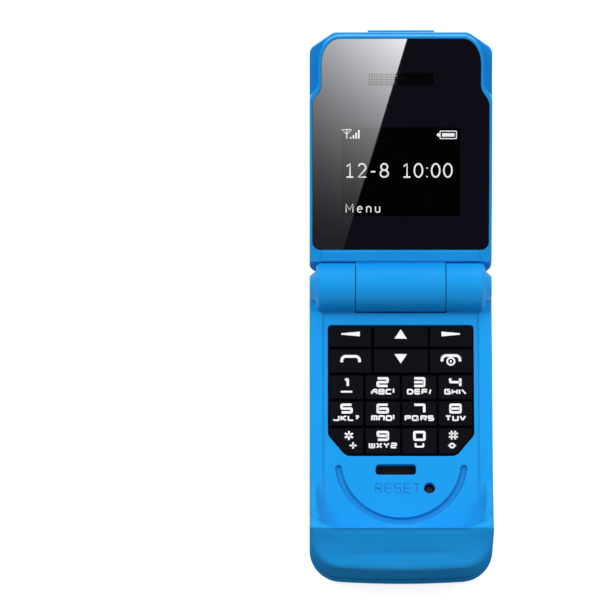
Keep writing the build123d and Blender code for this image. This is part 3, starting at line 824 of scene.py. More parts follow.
# Two-part ink put on with a pad: flat, bright white with a slightly grainy film.
PAD_INK = Finish(
    "white_pad_ink",
    "f2f3f4",
    "e9ebec",
    Pattern.PEEL,
    roughness=0.55,
    roughness_spread=0.06,
    specular=0.3,
    cloud=1.5,
    grain=0.12,
    relief=0.001,
)

# Bright aluminium foil over plastic, brushed along the strip. The lines are about 0.02 mm apart
# in fact, and drawn at 0.09 mm so that they show.
BRUSHED_FOIL = Finish(
    "brushed_bright_foil",
    "dfe1e4",
    "c9ccd1",
    Pattern.BRUSHED,
    roughness=0.24,
    roughness_spread=0.1,
    metallic=1.0,
    cloud=3.0,
    grain=0.09,
    relief=0.004,
)

# Dyed polyester acoustic cloth and its wires: dull, almost black.
ACOUSTIC_CLOTH = Finish(
    "black_acoustic_cloth",
    "08080a",
    "101013",
    Pattern.WOVEN,
    roughness=0.7,
    roughness_spread=0.1,
    specular=0.25,
    cloud=1.0,
    grain=0.2,
    relief=0.02,
)

# Etched steel mesh under black lacquer: its flat wires mirror a little, as the glass round it does.
LACQUERED_MESH = Finish(
    "black_lacquered_mesh",
    "040406",
    "060608",
    Pattern.FLAT,
    roughness=0.012,
    roughness_spread=0.004,
    specular=0.5,
    cloud=1.0,
    grain=0.6,
    relief=0.0002,
)

# Silicone rubber from a matt mould: dull black that takes the light away between the keys.
SILICONE_RUBBER = Finish(
    "black_silicone_rubber",
    "0a0a0c",
    "0e0e10",
    Pattern.MOULD,
    roughness=0.75,
    roughness_spread=0.08,
    specular=0.2,
    cloud=3.0,
    grain=0.15,
    relief=0.006,
)

# Double-sided foam tape, cut a little wider than the strip that it holds: dull, even black. Its
# edges beside the strip are also painted shade in the groove's gap.
TAPE_AND_GAP_SHADE = replace(SILICONE_RUBBER, name="black_tape_and_gap_shade", grain=0.1)

# Glass-filled nylon for frames and carriers: charcoal with the fine grain of a sparked mould.
GRAINED_NYLON = Finish(
    "black_grained_nylon",
    "17181a",
    "1f2022",
    Pattern.MOULD,
    roughness=0.55,
    roughness_spread=0.08,
    cloud=3.0,
    grain=0.12,
    relief=0.008,
    edge=0.1,
)

# Epoxy board under green solder mask: semi-gloss with the glass cloth's weave showing through.
SOLDER_MASK = Finish(
    "green_solder_mask",
    "0f5a34",
    "0c4a2b",
    Pattern.WOVEN,
    roughness=0.35,
    roughness_spread=0.06,
    cloud=5.0,
    grain=0.4,
    relief=0.004,
)

# Cold-rolled steel, stamped and tin plated: soft grey metal with rolling lines blurred away.
TINNED_STEEL = Finish(
    "tinned_stamped_steel",
    "b9bbbd",
    "a3a6a9",
    Pattern.PEEL,
    roughness=0.34,
    roughness_spread=0.08,
    metallic=1.0,
    cloud=2.0,
    grain=0.25,
    relief=0.002,
    edge=0.08,
)

# Screws in blackened steel: dark metal, bright only where the edges catch the light.
BLACKENED_STEEL = Finish(
    "blackened_screw_steel",
    "2a2b2e",
    "38393c",
    Pattern.PEEL,
    roughness=0.36,
    roughness_spread=0.1,
    metallic=1.0,
    cloud=0.8,
    grain=0.12,
    relief=0.002,
    edge=0.05,
)

# Gold flashed on nickel: the warm yellow of the socket's contacts.
GOLD_FLASH = Finish(
    "gold_flashed_nickel",
    "d9b45c",
    "cba24a",
    Pattern.PEEL,
    roughness=0.22,
    roughness_spread=0.06,
    metallic=1.0,
    cloud=1.0,
    grain=0.1,
    relief=0.001,
)

# Heat-shrunk polyester round the battery: satin silver-grey film with slight ripples.
SHRINK_FILM = Finish(
    "grey_shrink_film",
    "8f9498",
    "80868b",
    Pattern.PEEL,
    roughness=0.3,
    roughness_spread=0.06,
    cloud=6.0,
    grain=1.2,
    relief=0.03,
)

# The seam where two mouldings meet: a hair's breadth of shade.
SEAM_SHADE = Finish(
    "seam_shade",
    "0d4f86",
    "0b4678",
    Pattern.MOULD,
    roughness=0.8,
    specular=0.1,
    grain=0.3,
    relief=0.002,
)


class Wardrobe:
    """Makes each finish's material once and hands it out."""

    def __init__(self) -> None:
        """Starts with nothing made."""
        self.made: dict[str, bpy.types.Material] = {}

    def get(self, finish: Finish) -> bpy.types.Material:
        """Returns the finish's material, made on first use."""
        if finish.name not in self.made:
            self.made[finish.name] = finish.material()
        return self.made[finish.name]


# ---------------------------------------------------------------- places and drawing


class Body(Enum):
    """The bodies that new pieces ride on. Each key is a body of its own, named as its node."""

    BASE = "base"
    LID = "lid"
    COVER = "cover"


@dataclass(frozen=True)
class Facing:
    """A flat face that drawings are laid on: a point of it and its directions."""

    origin: Vector
    right: Vector
    up: Vector
    out: Vector

    def matrix(self, x: float = 0.0, y: float = 0.0, lift: float = 0.0) -> Matrix:
        """Gives the placing of a drawing on this face.

        Args:
            x: Millimetres to the right of the face's origin.
            y: Millimetres up from it.
            lift: Millimetres out of it.

        Returns:
            The matrix from the drawing's millimetres to the frame's metres.
        """
        place = self.origin + (self.right * x + self.up * y + self.out * lift) * MM
        columns = [axis * MM for axis in (self.right, self.up, self.out)]
        rows = [[*(column[row] for column in columns), place[row]] for row in range(3)]
        return Matrix([*rows, [0, 0, 0, 1]])


@dataclass(frozen=True)
class PhoneFrame:
    """Where the hinge is and how far the lid leans back, from the frame."""

    hinge: Vector
    lean: float

    @classmethod
    def read(cls, frame: dict) -> PhoneFrame:
        """Reads the hinge and the lid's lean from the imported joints.


        Returns:
            The phone's frame.
        """
        joint = next(joint for joint in frame["joints"] if joint["name"] == "lid_hinge")
        return cls(Vector(joint["pos_m"]), math.radians(180 + joint["range_deg"][0]))

    def face(self) -> Facing:
        """Keypad side of the base, level with the hinge axis."""
        return Facing(self.hinge, Vector((1, 0, 0)), Vector((0, 1, 0)), Vector((0, 0, 1)))

    def lid_inside(self) -> Facing:
        """Display side of the lid. Up is away from the hinge."""
        away = Vector((0, math.cos(self.lean), math.sin(self.lean)))
        out = Vector((0, -math.sin(self.lean), math.cos(self.lean)))
        return Facing(self.hinge, Vector((1, 0, 0)), away, out)

    def lid_outside(self) -> Facing:
        """Cover side of the lid. Up is toward the hinge, as on the closed phone."""
        inside = self.lid_inside()
        return Facing(self.hinge, inside.right, -inside.up, -inside.out)

    def above_back(self, height: float) -> Matrix:
        """Places a level drawing this many mm above the phone's flat back."""
        return self.face().matrix(lift=height - self.hinge.z / MM)


@dataclass(frozen=True)
class StrokeType:
    """One size of the phone's square stroke lettering, along the strokes' centrelines, in mm."""

    width: float
    height: float
    stroke: float
    gap: float


# Cells along each side of a glyph's grid.
GLYPH_CELLS = 4

# Each glyph on its grid: column and row of each bend, rows counted from the foot.
# A bar parts the strokes, and a stroke that ends in o closes on itself.
GLYPHS: dict[str, str] = {
    "0": "00 40 44 04 o",
    "1": "13 24 20",
    "2": "04 44 42 02 00 40",
    "3": "04 44 40 00 | 02 42",
    "4": "04 02 42 | 44 40",
    "5": "44 04 02 42 40 00",
    "6": "44 04 00 40 42 02",
    "7": "04 44 40",
    "8": "00 40 44 04 o | 02 42",
    "9": "42 02 04 44 40 00",
    "A": "00 02 24 44 40 | 02 42",
    "B": "00 40 44 04 o | 02 42",
    "C": "44 04 00 40",
    "D": "00 04 34 43 41 30 o",
    "E": "44 04 00 40 | 02 42",
    "F": "44 04 00 | 02 42",
    "G": "44 04 00 40 42 22",
    "H": "04 00 | 44 40 | 02 42",
    "I": "24 20",
    "J": "44 40 00 01",
    "K": "04 00 | 44 02 40",
    "L": "04 00 40",
    "M": "00 04 44 40 | 24 20",
    "N": "00 04 44 40",
    "O": "00 40 44 04 o",
    "P": "00 04 44 42 02",
    "Q": "00 40 44 04 o | 32 50",
    "R": "00 04 44 42 02 | 22 40",
    "S": "44 04 02 42 40 00",
    "T": "04 44 | 24 20",
    "U": "04 00 40 44",
    "V": "04 20 44",
    "W": "04 00 40 44 | 24 20",
    "X": "04 40 | 00 44",
    "Y": "04 22 44 | 22 20",
    "Z": "04 44 42 02 00 40",
    "!": "25 21",
    "?": "14 44 22 21",
    "/": "20 34",
    "\\": "14 40",
}


def bow(
    x: float, y: float, across: float, tall: float, start: float, end: float, steps: int = 14
) -> list[Point]:
    """Gives points of an elliptical stroke.

    Args:
        x: Middle, across.
        y: Middle, up.
        across: Half its width.
        tall: Half its height.
        start: Angle that it starts at, in degrees.
        end: Angle that it ends at.
        steps: Runs along the stroke.

    Returns:
        The points.
    """
    angles = [math.radians(start + (end - start) * step / steps) for step in range(steps + 1)]
    return [(x + across * math.cos(angle), y + tall * math.sin(angle)) for angle in angles]


def quarter_round(
    x: float, y: float, radius: float, start: float, steps: int = 8
) -> list[Point]:
    """Gives points of a quarter round about x and y that starts at this angle, in degrees."""
    return bow(x, y, radius, radius, start, start + 90, steps)


# The display's plain round type: width of each glyph and its strokes, in heights of a digit.
DISPLAY_GLYPHS: dict[str, tuple[float, list[Path]]] = {
    "0": (0.6, [(bow(0.3, 0.5, 0.3, 0.5, 0, 342, 19), True)]),
    "1": (
        0.5,
        [
            ([(0.02, 0.8), (0.26, 1.0), (0.26, 0.0)], False),
            ([(0.0, 0.0), (0.5, 0.0)], False),
        ],
    ),
    "2": (0.56, [([*bow(0.27, 0.72, 0.27, 0.28, 160, -38), (0.0, 0.0), (0.57, 0.0)], False)]),
    "8": (
        0.58,
        [
            (bow(0.29, 0.76, 0.24, 0.24, 0, 342, 19), True),
            (bow(0.29, 0.26, 0.29, 0.26, 0, 342, 19), True),
        ],
    ),
    "-": (0.32, [([(0.0, 0.4), (0.32, 0.4)], False)]),
    ":": (0.08, [([(0.04, 0.64), (0.04, 0.72)], False), ([(0.04, 0.0), (0.04, 0.08)], False)]),
    "M": (0.8, [([(0.0, 0.0), (0.0, 1.0), (0.4, 0.3), (0.8, 1.0), (0.8, 0.0)], False)]),
    "e": (0.54, [([(0.0, 0.38), (0.54, 0.38), *bow(0.27, 0.35, 0.27, 0.35, 15, 310)], False)]),
    "n": (
        0.5,
        [
            ([(0.0, 0.0), (0.0, 0.7)], False),
            ([*bow(0.25, 0.44, 0.25, 0.26, 180, 0, 10), (0.5, 0.0)], False),
        ],
    ),
    "u": (
        0.5,
        [
            ([(0.5, 0.0), (0.5, 0.7)], False),
            ([(0.0, 0.7), *bow(0.25, 0.26, 0.25, 0.26, 180, 360, 10)], False),
        ],
    ),
}


@dataclass
class Drawing:
    """Strokes and filled shapes for one face, in mm. A drawing of fills only has no stroke."""

    stroke: float = 0.0
    bend: float = 0.12
    bend_steps: int = 4
    paths: list[Path] = field(default_factory=list)
    fills: list[list[Point]] = field(default_factory=list)

    def line(self, points: list[Point], closed: bool = False) -> Drawing:
        """Adds a stroke through these points and returns the drawing."""
        self.paths.append(([tuple(point) for point in points], closed))
        return self

    def fill(self, points: list[Point]) -> Drawing:
        """Adds a filled shape with these corners and returns the drawing."""
        self.fills.append(points)
        return self

    def box(self, left: float, right: float, low: float, high: float) -> Drawing:
        """Adds a filled rectangle and returns the drawing."""
        return self.fill([(left, low), (right, low), (right, high), (left, high)])

    def ring(self, x: float, y: float, radius: float, steps: int = 20) -> Drawing:
        """Adds a round stroke and returns the drawing."""
        return self.line(bow(x, y, radius, radius, 0, 360, steps)[:-1], closed=True)

    def word(self, letters: str, kind: StrokeType, x: float, y: float) -> Drawing:
        """Adds a word, centred.

        Args:
            letters: The word, of characters in GLYPHS.
            kind: The size of lettering.
            x: Middle of the word.
            y: Middle of its height.

        Returns:
            The drawing.
        """
        widths = []
        for letter in letters:
            columns = [int(spot[0]) for spot in GLYPHS[letter].split() if spot not in "|o"]
            span = max(columns) - min(columns)
            widths.append((min(columns), span / GLYPH_CELLS * kind.width))
        step = kind.stroke + kind.gap
        left = x - (sum(width for _, width in widths) + step * (len(letters) - 1)) / 2
        for letter, (first, width) in zip(letters, widths):
            for strokes in GLYPHS[letter].split("|"):
                spots = strokes.split()
                closed = spots[-1] == "o"
                points = [
                    (
                        left + (int(spot[0]) - first) / GLYPH_CELLS * kind.width,
                        y + (int(spot[1]) / GLYPH_CELLS - 0.5) * kind.height,
                    )
                    for spot in spots
                    if spot != "o"
                ]
                self.line(points, closed)
            left += width + step
        return self

    def mesh(
        self, strips: SweptStrip, material: bpy.types.Material, place: Matrix, film: float
    ) -> bpy.types.Mesh:
        """Turns the drawing into a thin film on its face.

        Args:
            strips: The tree that sweeps the strokes.
            material: What the film is made of.
            place: The drawing's placing, from Facing.matrix().
            film: How far the film stands proud. It is sunk as deep again.

        Returns:
            The film, in the frame's metres.
        """
        parts = []
        if self.paths:
            parts.append(
                strips.grow(
                    path_mesh(self.paths),
                    Strip_Width=self.stroke,
                    Strip_Height=2 * film,
                    Edge_Radius=film / 2,
                    Bend_Radius=self.bend,
                    Bend_Steps=self.bend_steps,
                    Finish=material,
                )
            )
        for points in self.fills:
            plate = prism(points, -film, film)
            plate.materials.append(material)
            parts.append(plate)
        for part in parts:
            part.transform(place)
        return merged("drawing", parts)


# ---------------------------------------------------------------- the phone


@dataclass
class Workshop:
    """What every sub-assembly is built with."""

    places: PhoneFrame
    finishes: Wardrobe = field(default_factory=Wardrobe)
    strips: SweptStrip = field(default_factory=SweptStrip)
    grids: PartGrid = field(default_factory=PartGrid)

    def piece(
        self, name: str, meshes: list[bpy.types.Mesh], body: str, slot: str = ""
    ) -> bpy.types.Object:
        """Makes one finished piece and sets it on its body.

        Args:
            name: Name of the piece.
            meshes: Its meshes, in place and dressed.
            body: The body that it rides on.
            slot: The record's material slot, or none where no slot fits. It is not used.

        Returns:
            The piece.
        """
        mesh = merged(name, meshes)
        thing = in_scene(name, mesh)
        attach(thing, body)
        log.info("%s: %d faces on %s", name, len(mesh.polygons), body)
        return thing


def is_key(name: str) -> bool:
    """Tells whether a node is one of the eighteen keys."""
    return name.startswith("key_") and name != "key_mat"


@dataclass
class CarriedNodes:
    """The frame's own nodes, each with its real finish."""

    shop: Workshop
    nodes: dict[str, bpy.types.Object]
    rounded_blue: tuple[str, ...] = ("base_front_case",)
    blue: tuple[str, ...] = ("base_rear_case", "lid_inner_case", "lid_cover")
    acrylic: tuple[str, ...] = ("display_window",)
    silicone: tuple[str, ...] = ("key_mat",)
    cloth: tuple[str, ...] = ("microphone_mesh", "earpiece_mesh")
    nylon: tuple[str, ...] = (
        "loudspeaker",
        "antenna_carrier",
        "reset_switch",
        "reset_plunger",
        "earpiece_receiver",
        "display_module",
    )
    board: tuple[str, ...] = ("main_board", "lid_board")
    steel: tuple[str, ...] = (
        "dome_sheet",
        "shield_can",
        "microphone",
        "vibration_motor",
        "charging_socket",
        "hinge_cam_unit",
        "hinge_pin",
        "card_socket",
    )
    film: tuple[str, ...] = ("battery",)

    def dress(self) -> None:
        """Assigns every node's finish."""
        groups = (
            (self.rounded_blue, ROUNDED_BLUE),
            (self.blue, SATIN_BLUE),
            (self.acrylic, GLOSS_ACRYLIC),
            (self.silicone, SILICONE_RUBBER),
            (self.cloth, ACOUSTIC_CLOTH),
            (self.nylon, GRAINED_NYLON),
            (self.board, SOLDER_MASK),
            (self.steel, TINNED_STEEL),
            (self.film, SHRINK_FILM),
        )
        chosen = {name: finish for names, finish in groups for name in names}
        for name, node in self.nodes.items():
            if is_key(name):
                chosen[name] = BLACK_KEY_LACQUER
            if name not in chosen:
                continue
            material = self.shop.finishes.get(chosen[name])
            if node.material_slots:
                for slot in node.material_slots:
                    slot.material = material
            else:
                node.data.materials.append(material)
            log.info("%s: %s", name, chosen[name].name)


@dataclass
class KeyLegends:
    """White legends of the eighteen keys. Sizes in mm, places from each key's middle."""

    shop: Workshop
    film: float = 0.012
    digit: StrokeType = StrokeType(1.55, 1.24, 0.4, 0.2)
    digit_rise: float = 0.78
    caps: StrokeType = StrokeType(0.76, 0.68, 0.25, 0.12)
    caps_bend: float = 0.08
    caps_drop: float = 0.78
    line_stroke: float = 0.3
    fine_stroke: float = 0.27
    bar_half: float = 0.9
    bracket_half: float = 0.6
    bracket_rise: Point = (-0.2, 0.35)
    wedge: Triple = (2.9, 0.78, 0.24)
    triangle: Point = (1.95, 1.55)
    arrow_rise: float = 0.42
    down_rise: float = 0.32
    star_place: Point = (0.35, 0.85)
    star_reach: float = 0.72
    star_turns: Triple = (90.0, 30.0, 150.0)
    plus_place: Point = (1.0, -0.78)
    plus_half: float = 0.55
    plus_rise: Point = (-1.3, -0.25)
    hash_place: Point = (-0.35, 0.9)
    hash_half: float = 0.7
    hash_gap: float = 0.28
    ring_place: Point = (-0.55, -0.8)
    ring_radius: float = 0.33
    ring_reach: float = 0.6
    handset: Point = (2.85, 0.95)
    handset_stroke: float = 0.45
    handset_bend: float = 0.35
    handset_top: float = 0.72
    ended_top: float = 0.85
    ear_width: float = 0.1
    ear_height: float = 0.3
    shoulder: float = 0.5
    dial: Triple = (-0.02, -0.1, 0.58)
    dial_mark: float = 0.22
    words: dict[str, tuple[str, str]] = field(
        default_factory=lambda: {
            "key_1": ("1", ""),
            "key_2": ("2", "ABC!"),
            "key_3": ("3", "DEF/"),
            "key_4": ("4", "GHI\\"),
            "key_5": ("5", "JKL?"),
            "key_6": ("6", "MNO!"),
            "key_7": ("7", "PQRS"),
            "key_8": ("8", "TUV"),
            "key_9": ("9", "WXYZ"),
            "key_0": ("0", ""),
        }
    )

    def digits(self, name: str) -> list[Drawing]:
        """Draws a digit with the letters, bar or bracket under it.

        Args:
            name: Name of the key.

        Returns:
            The digit and what stands under it.
        """
        digit, letters = self.words[name]
        drawn = Drawing(self.digit.stroke).word(digit, self.digit, 0.0, self.digit_rise)
        if letters:
            under = Drawing(self.caps.stroke, self.caps_bend)
            under.word(letters, self.caps, 0.0, -self.caps_drop)
        elif name == "key_1":
            under = Drawing(self.line_stroke)
            under.line([(-self.bar_half, -self.caps_drop), (self.bar_half, -self.caps_drop)])
        else:
            half = self.bracket_half
            low, high = (rise - self.caps_drop for rise in self.bracket_rise)
            under = Drawing(self.line_stroke)
            under.line([(-half, high), (-half, low), (half, low), (half, high)])
        return [drawn, under]

    def symbols(self, name: str) -> list[Drawing]:
        """Draws the legend of a key that has no digit.

        Args:
            name: Name of the key.

        Returns:
            Its drawings.
        """
        match name:
            case "key_soft_left":
                return [self.soft_wedge(-1)]
            case "key_soft_right":
                return [self.soft_wedge(1)]
            case "key_up":
                return [self.arrow(1, self.arrow_rise)]
            case "key_down":
                return [self.arrow(-1, self.down_rise)]
            case "key_star":
                return [self.star(), self.plus()]
            case "key_hash":
                return [self.hash_and_ring()]
            case _:
                return self.handsets(ended=name == "key_end")

    def soft_wedge(self, side: int) -> Drawing:
        """Draws the wedge of a soft key, which thins toward one side.

        Args:
            side: -1 for the left, 1 for the right.

        Returns:
            The wedge.
        """
        length, thick, thin = self.wedge
        tip, back, middle = side * length / 2, -side * length / 2, self.arrow_rise
        corners = [
            (back, middle - thick / 2),
            (tip, middle - thin / 2),
            (tip, middle + thin / 2),
            (back, middle + thick / 2),
        ]
        return Drawing().fill(corners[::side])

    def arrow(self, way: int, middle: float) -> Drawing:
        """Draws the triangle of an arrow key.

        Args:
            way: 1 to point up, -1 to point down.
            middle: Height of its middle.

        Returns:
            The triangle.
        """
        half, rise = way * self.triangle[0] / 2, way * self.triangle[1] / 2
        return Drawing().fill([(-half, middle - rise), (half, middle - rise), (0.0, middle + rise)])

    def star(self) -> Drawing:
        """Draws the six-armed star.

        Returns:
            The star.
        """
        drawing = Drawing(self.line_stroke, bend=0.0)
        centre = Vector(self.star_place)
        for turn in self.star_turns:
            angle = math.radians(turn)
            reach = Vector((math.cos(angle), math.sin(angle))) * self.star_reach
            drawing.line([tuple(centre - reach), tuple(centre + reach)])
        return drawing

    def plus(self) -> Drawing:
        """Draws the plus under the star.

        Returns:
            The plus.
        """
        x, y = self.plus_place
        foot, head = self.plus_rise
        drawing = Drawing(self.fine_stroke).line([(x, foot), (x, head)])
        return drawing.line([(x - self.plus_half, y), (x + self.plus_half, y)])

    def hash_and_ring(self) -> Drawing:
        """Draws the hash, and under it the ring with a line at each side.

        Returns:
            Both in one drawing.
        """
        drawing = Drawing(self.fine_stroke, bend=0.0)
        x, y = self.hash_place
        for offset in (-self.hash_gap, self.hash_gap):
            drawing.line([(x + offset, y - self.hash_half), (x + offset, y + self.hash_half)])
            drawing.line([(x - self.hash_half, y + offset), (x + self.hash_half, y + offset)])
        x, y = self.ring_place
        drawing.ring(x, y, self.ring_radius)
        drawing.line([(x - self.ring_reach, y), (x - self.ring_radius, y)])
        return drawing.line([(x + self.ring_radius, y), (x + self.ring_reach, y)])

    def handsets(self, ended: bool) -> list[Drawing]:
        """Draws a handset, with the dial under it on the key that ends a call.

        Args:
            ended: Whether this is the key that ends a call.

        Returns:
            The handset, and the dial where there is one.
        """
        half, drop = self.handset[0] / 2, self.handset[1]
        top = self.ended_top if ended else self.handset_top
        outline = [
            (-half, top - drop),
            (self.ear_width - half, top - self.ear_height),
            (self.shoulder - half, top),
            (half - self.shoulder, top),
            (half - self.ear_width, top - self.ear_height),
            (half, top - drop),
        ]
        drawings = [Drawing(self.handset_stroke, self.handset_bend).line(outline)]
        if ended:
            x, y, radius = self.dial
            dial = Drawing(self.fine_stroke).ring(x, y, radius)
            drawings.append(dial.line([(x, y - self.dial_mark), (x, y + self.dial_mark)]))
        return drawings

    def build(self, keys: list[str]) -> None:
        """Lays each key's legend on its top.

        Args:
            keys: Names of the key nodes, which are also their bodies.
        """
        ink = self.shop.finishes.get(PAD_INK)
        face = self.shop.places.face()
        for name in keys:
            low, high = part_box(name)
            spot = (Vector(((low.x + high.x) / 2, (low.y + high.y) / 2, high.z)) - face.origin) / MM
            place = face.matrix(*spot)
            drawings = self.digits(name) if name in self.words else self.symbols(name)
            meshes = [drawing.mesh(self.shop.strips, ink, place, self.film) for drawing in drawings]
            self.shop.piece(f"legend_{name}", meshes, name)


@dataclass(frozen=True)
class WireCloth:
    """A cloth of flat wires, in mm: its opening, the wires' pitch, and their own sizes."""

    opening: Point
    pitch: float
    width: float
    thickness: float
    wave: float
    ease: float = 0.05

    def weave(self, shop: Workshop, place: Matrix, finish: Finish) -> list[bpy.types.Mesh]:
        """Weaves the cloth: each wire passes over one neighbour and under the next.

        Args:
            shop: The workshop with its trees and finishes.
            place: Placing of the cloth's middle.
            finish: Finish of the wires.

        Returns:
            The two sets of wires.
        """
        length, width = self.opening
        return [
            self.wires(shop, length, width, self.wave, place, finish),
            self.wires(
                shop,
                width,
                length,
                -self.wave,
                place
                @ Matrix.Translation((0.0, 0.0, -self.ease * self.thickness))
                @ Matrix.Rotation(math.pi / 2, 4, "Z"),
                finish,
            ),
        ]

    def wires(
        self,
        shop: Workshop,
        length: float,
        across: float,
        wave: float,
        place: Matrix,
        finish: Finish,
    ) -> bpy.types.Mesh:
        """Makes one set of wires, side by side.

        Args:
            shop: The workshop with its trees and finishes.
            length: Length of a wire.
            across: Width that the set covers.
            wave: How far a wire rises at its first crossing.
            place: Placing of the set's middle.
            finish: Finish of the wires.

        Returns:
            The set.
        """
        gaps = int(length / self.pitch)
        points = [
            ((crossing - gaps / 2) * self.pitch, 0.0, wave * (-1) ** crossing)
            for crossing in range(gaps + 1)
        ]
        wire = shop.strips.grow(
            path_mesh([(points, False)]),
            Strip_Width=self.width,
            Strip_Height=self.thickness,
            Edge_Radius=self.ease * self.thickness + self.wave,
            Bend_Radius=0.0,
            Bend_Steps=1,
            Finish=shop.finishes.get(finish),
        )
        cloth = shop.grids.grow(
            wire,
            Columns=1,
            Rows=int(across / self.pitch) + 1,
            Row_Step=self.pitch,
            Alternate_Turn=math.pi,
            Finish=shop.finishes.get(finish),
        )
        cloth.transform(place)
        return cloth


@dataclass(frozen=True)
class CrossScrew:
    """A cross-recessed screw that stands on its head, in mm above the phone's back."""

    low: float = 0.15
    top: float = 6.1
    head: float = 1.25
    head_height: float = 0.7
    head_round: tuple[Point, Point] = ((0.42, 0.0), (0.14, 0.04))
    head_rise: float = 0.2
    shank: float = 0.7
    pitch: float = 0.4
    thread: float = 0.14
    thread_places: Point = (0.3, 0.8)
    runout: float = 0.5
    tip: float = 0.2
    flats: int = 40
    arm: float = 0.13
    reach: float = 0.62
    depth: float = 0.34
    taper: float = 0.55

    def profile(self) -> list[Point]:
        """Gives the turned body, from the head's face to the tip.

        Returns:
            Radius and height of each point.
        """
        seat = self.low + self.head_height
        points = [(self.head - inset, self.low + rise) for inset, rise in self.head_round]
        points += [(self.head, self.low + self.head_rise), (self.head, seat), (self.shank, seat)]
        crest, root = self.thread_places
        for turn in range(int((self.top - self.runout - seat) / self.pitch)):
            points.append((self.shank, seat + self.pitch * (turn + crest)))
            points.append((self.shank - self.thread, seat + self.pitch * (turn + root)))
        return [*points, (self.shank - self.tip, self.top - self.tip), (0.0, self.top)]

    def cross(self) -> list[Point]:
        """Gives the outline of the recess, one arm after the other.

        Returns:
            Its corners.
        """
        corners = ((self.reach, -self.arm), (self.reach, self.arm), (self.arm, self.arm))
        turns = [math.radians(90 * arm) for arm in range(4)]
        return [
            (x * math.cos(turn) - y * math.sin(turn), x * math.sin(turn) + y * math.cos(turn))
            for turn in turns
            for x, y in corners
        ]

    def mesh(self) -> bpy.types.Mesh:
        """Makes the screw, with its recess sunk into the head.

        Returns:
            A closed mesh in the drawing's millimetres.
        """
        body = turned(self.profile(), self.flats)
        face = self.head - self.head_round[0][0]
        rim_points = bow(0.0, 0.0, face, face, 0.0, 360.0, self.flats)[:-1]
        shape = bmesh.new()
        rim = [shape.verts.new((x, y, self.low)) for x, y in rim_points]
        mouth = [shape.verts.new((x, y, self.low)) for x, y in self.cross()]
        edges = [
            shape.edges.new(pair)
            for ring in (rim, mouth)
            for pair in zip(ring, [*ring[1:], ring[0]])
        ]
        bmesh.ops.triangle_fill(shape, use_beauty=True, use_dissolve=False, edges=edges)
        sunk, taper = self.low + self.depth, self.taper
        floor = [shape.verts.new((x * taper, y * taper, sunk)) for x, y in self.cross()]
        count = len(mouth)
        for place in range(count):
            after = (place + 1) % count
            shape.faces.new((mouth[place], mouth[after], floor[after], floor[place]))
        shape.faces.new(floor)
        shape.from_mesh(body)
        bmesh.ops.remove_doubles(shape, verts=shape.verts, dist=WELD)
        bmesh.ops.recalc_face_normals(shape, faces=shape.faces)
        shape.to_mesh(body)
        shape.free()
        return body


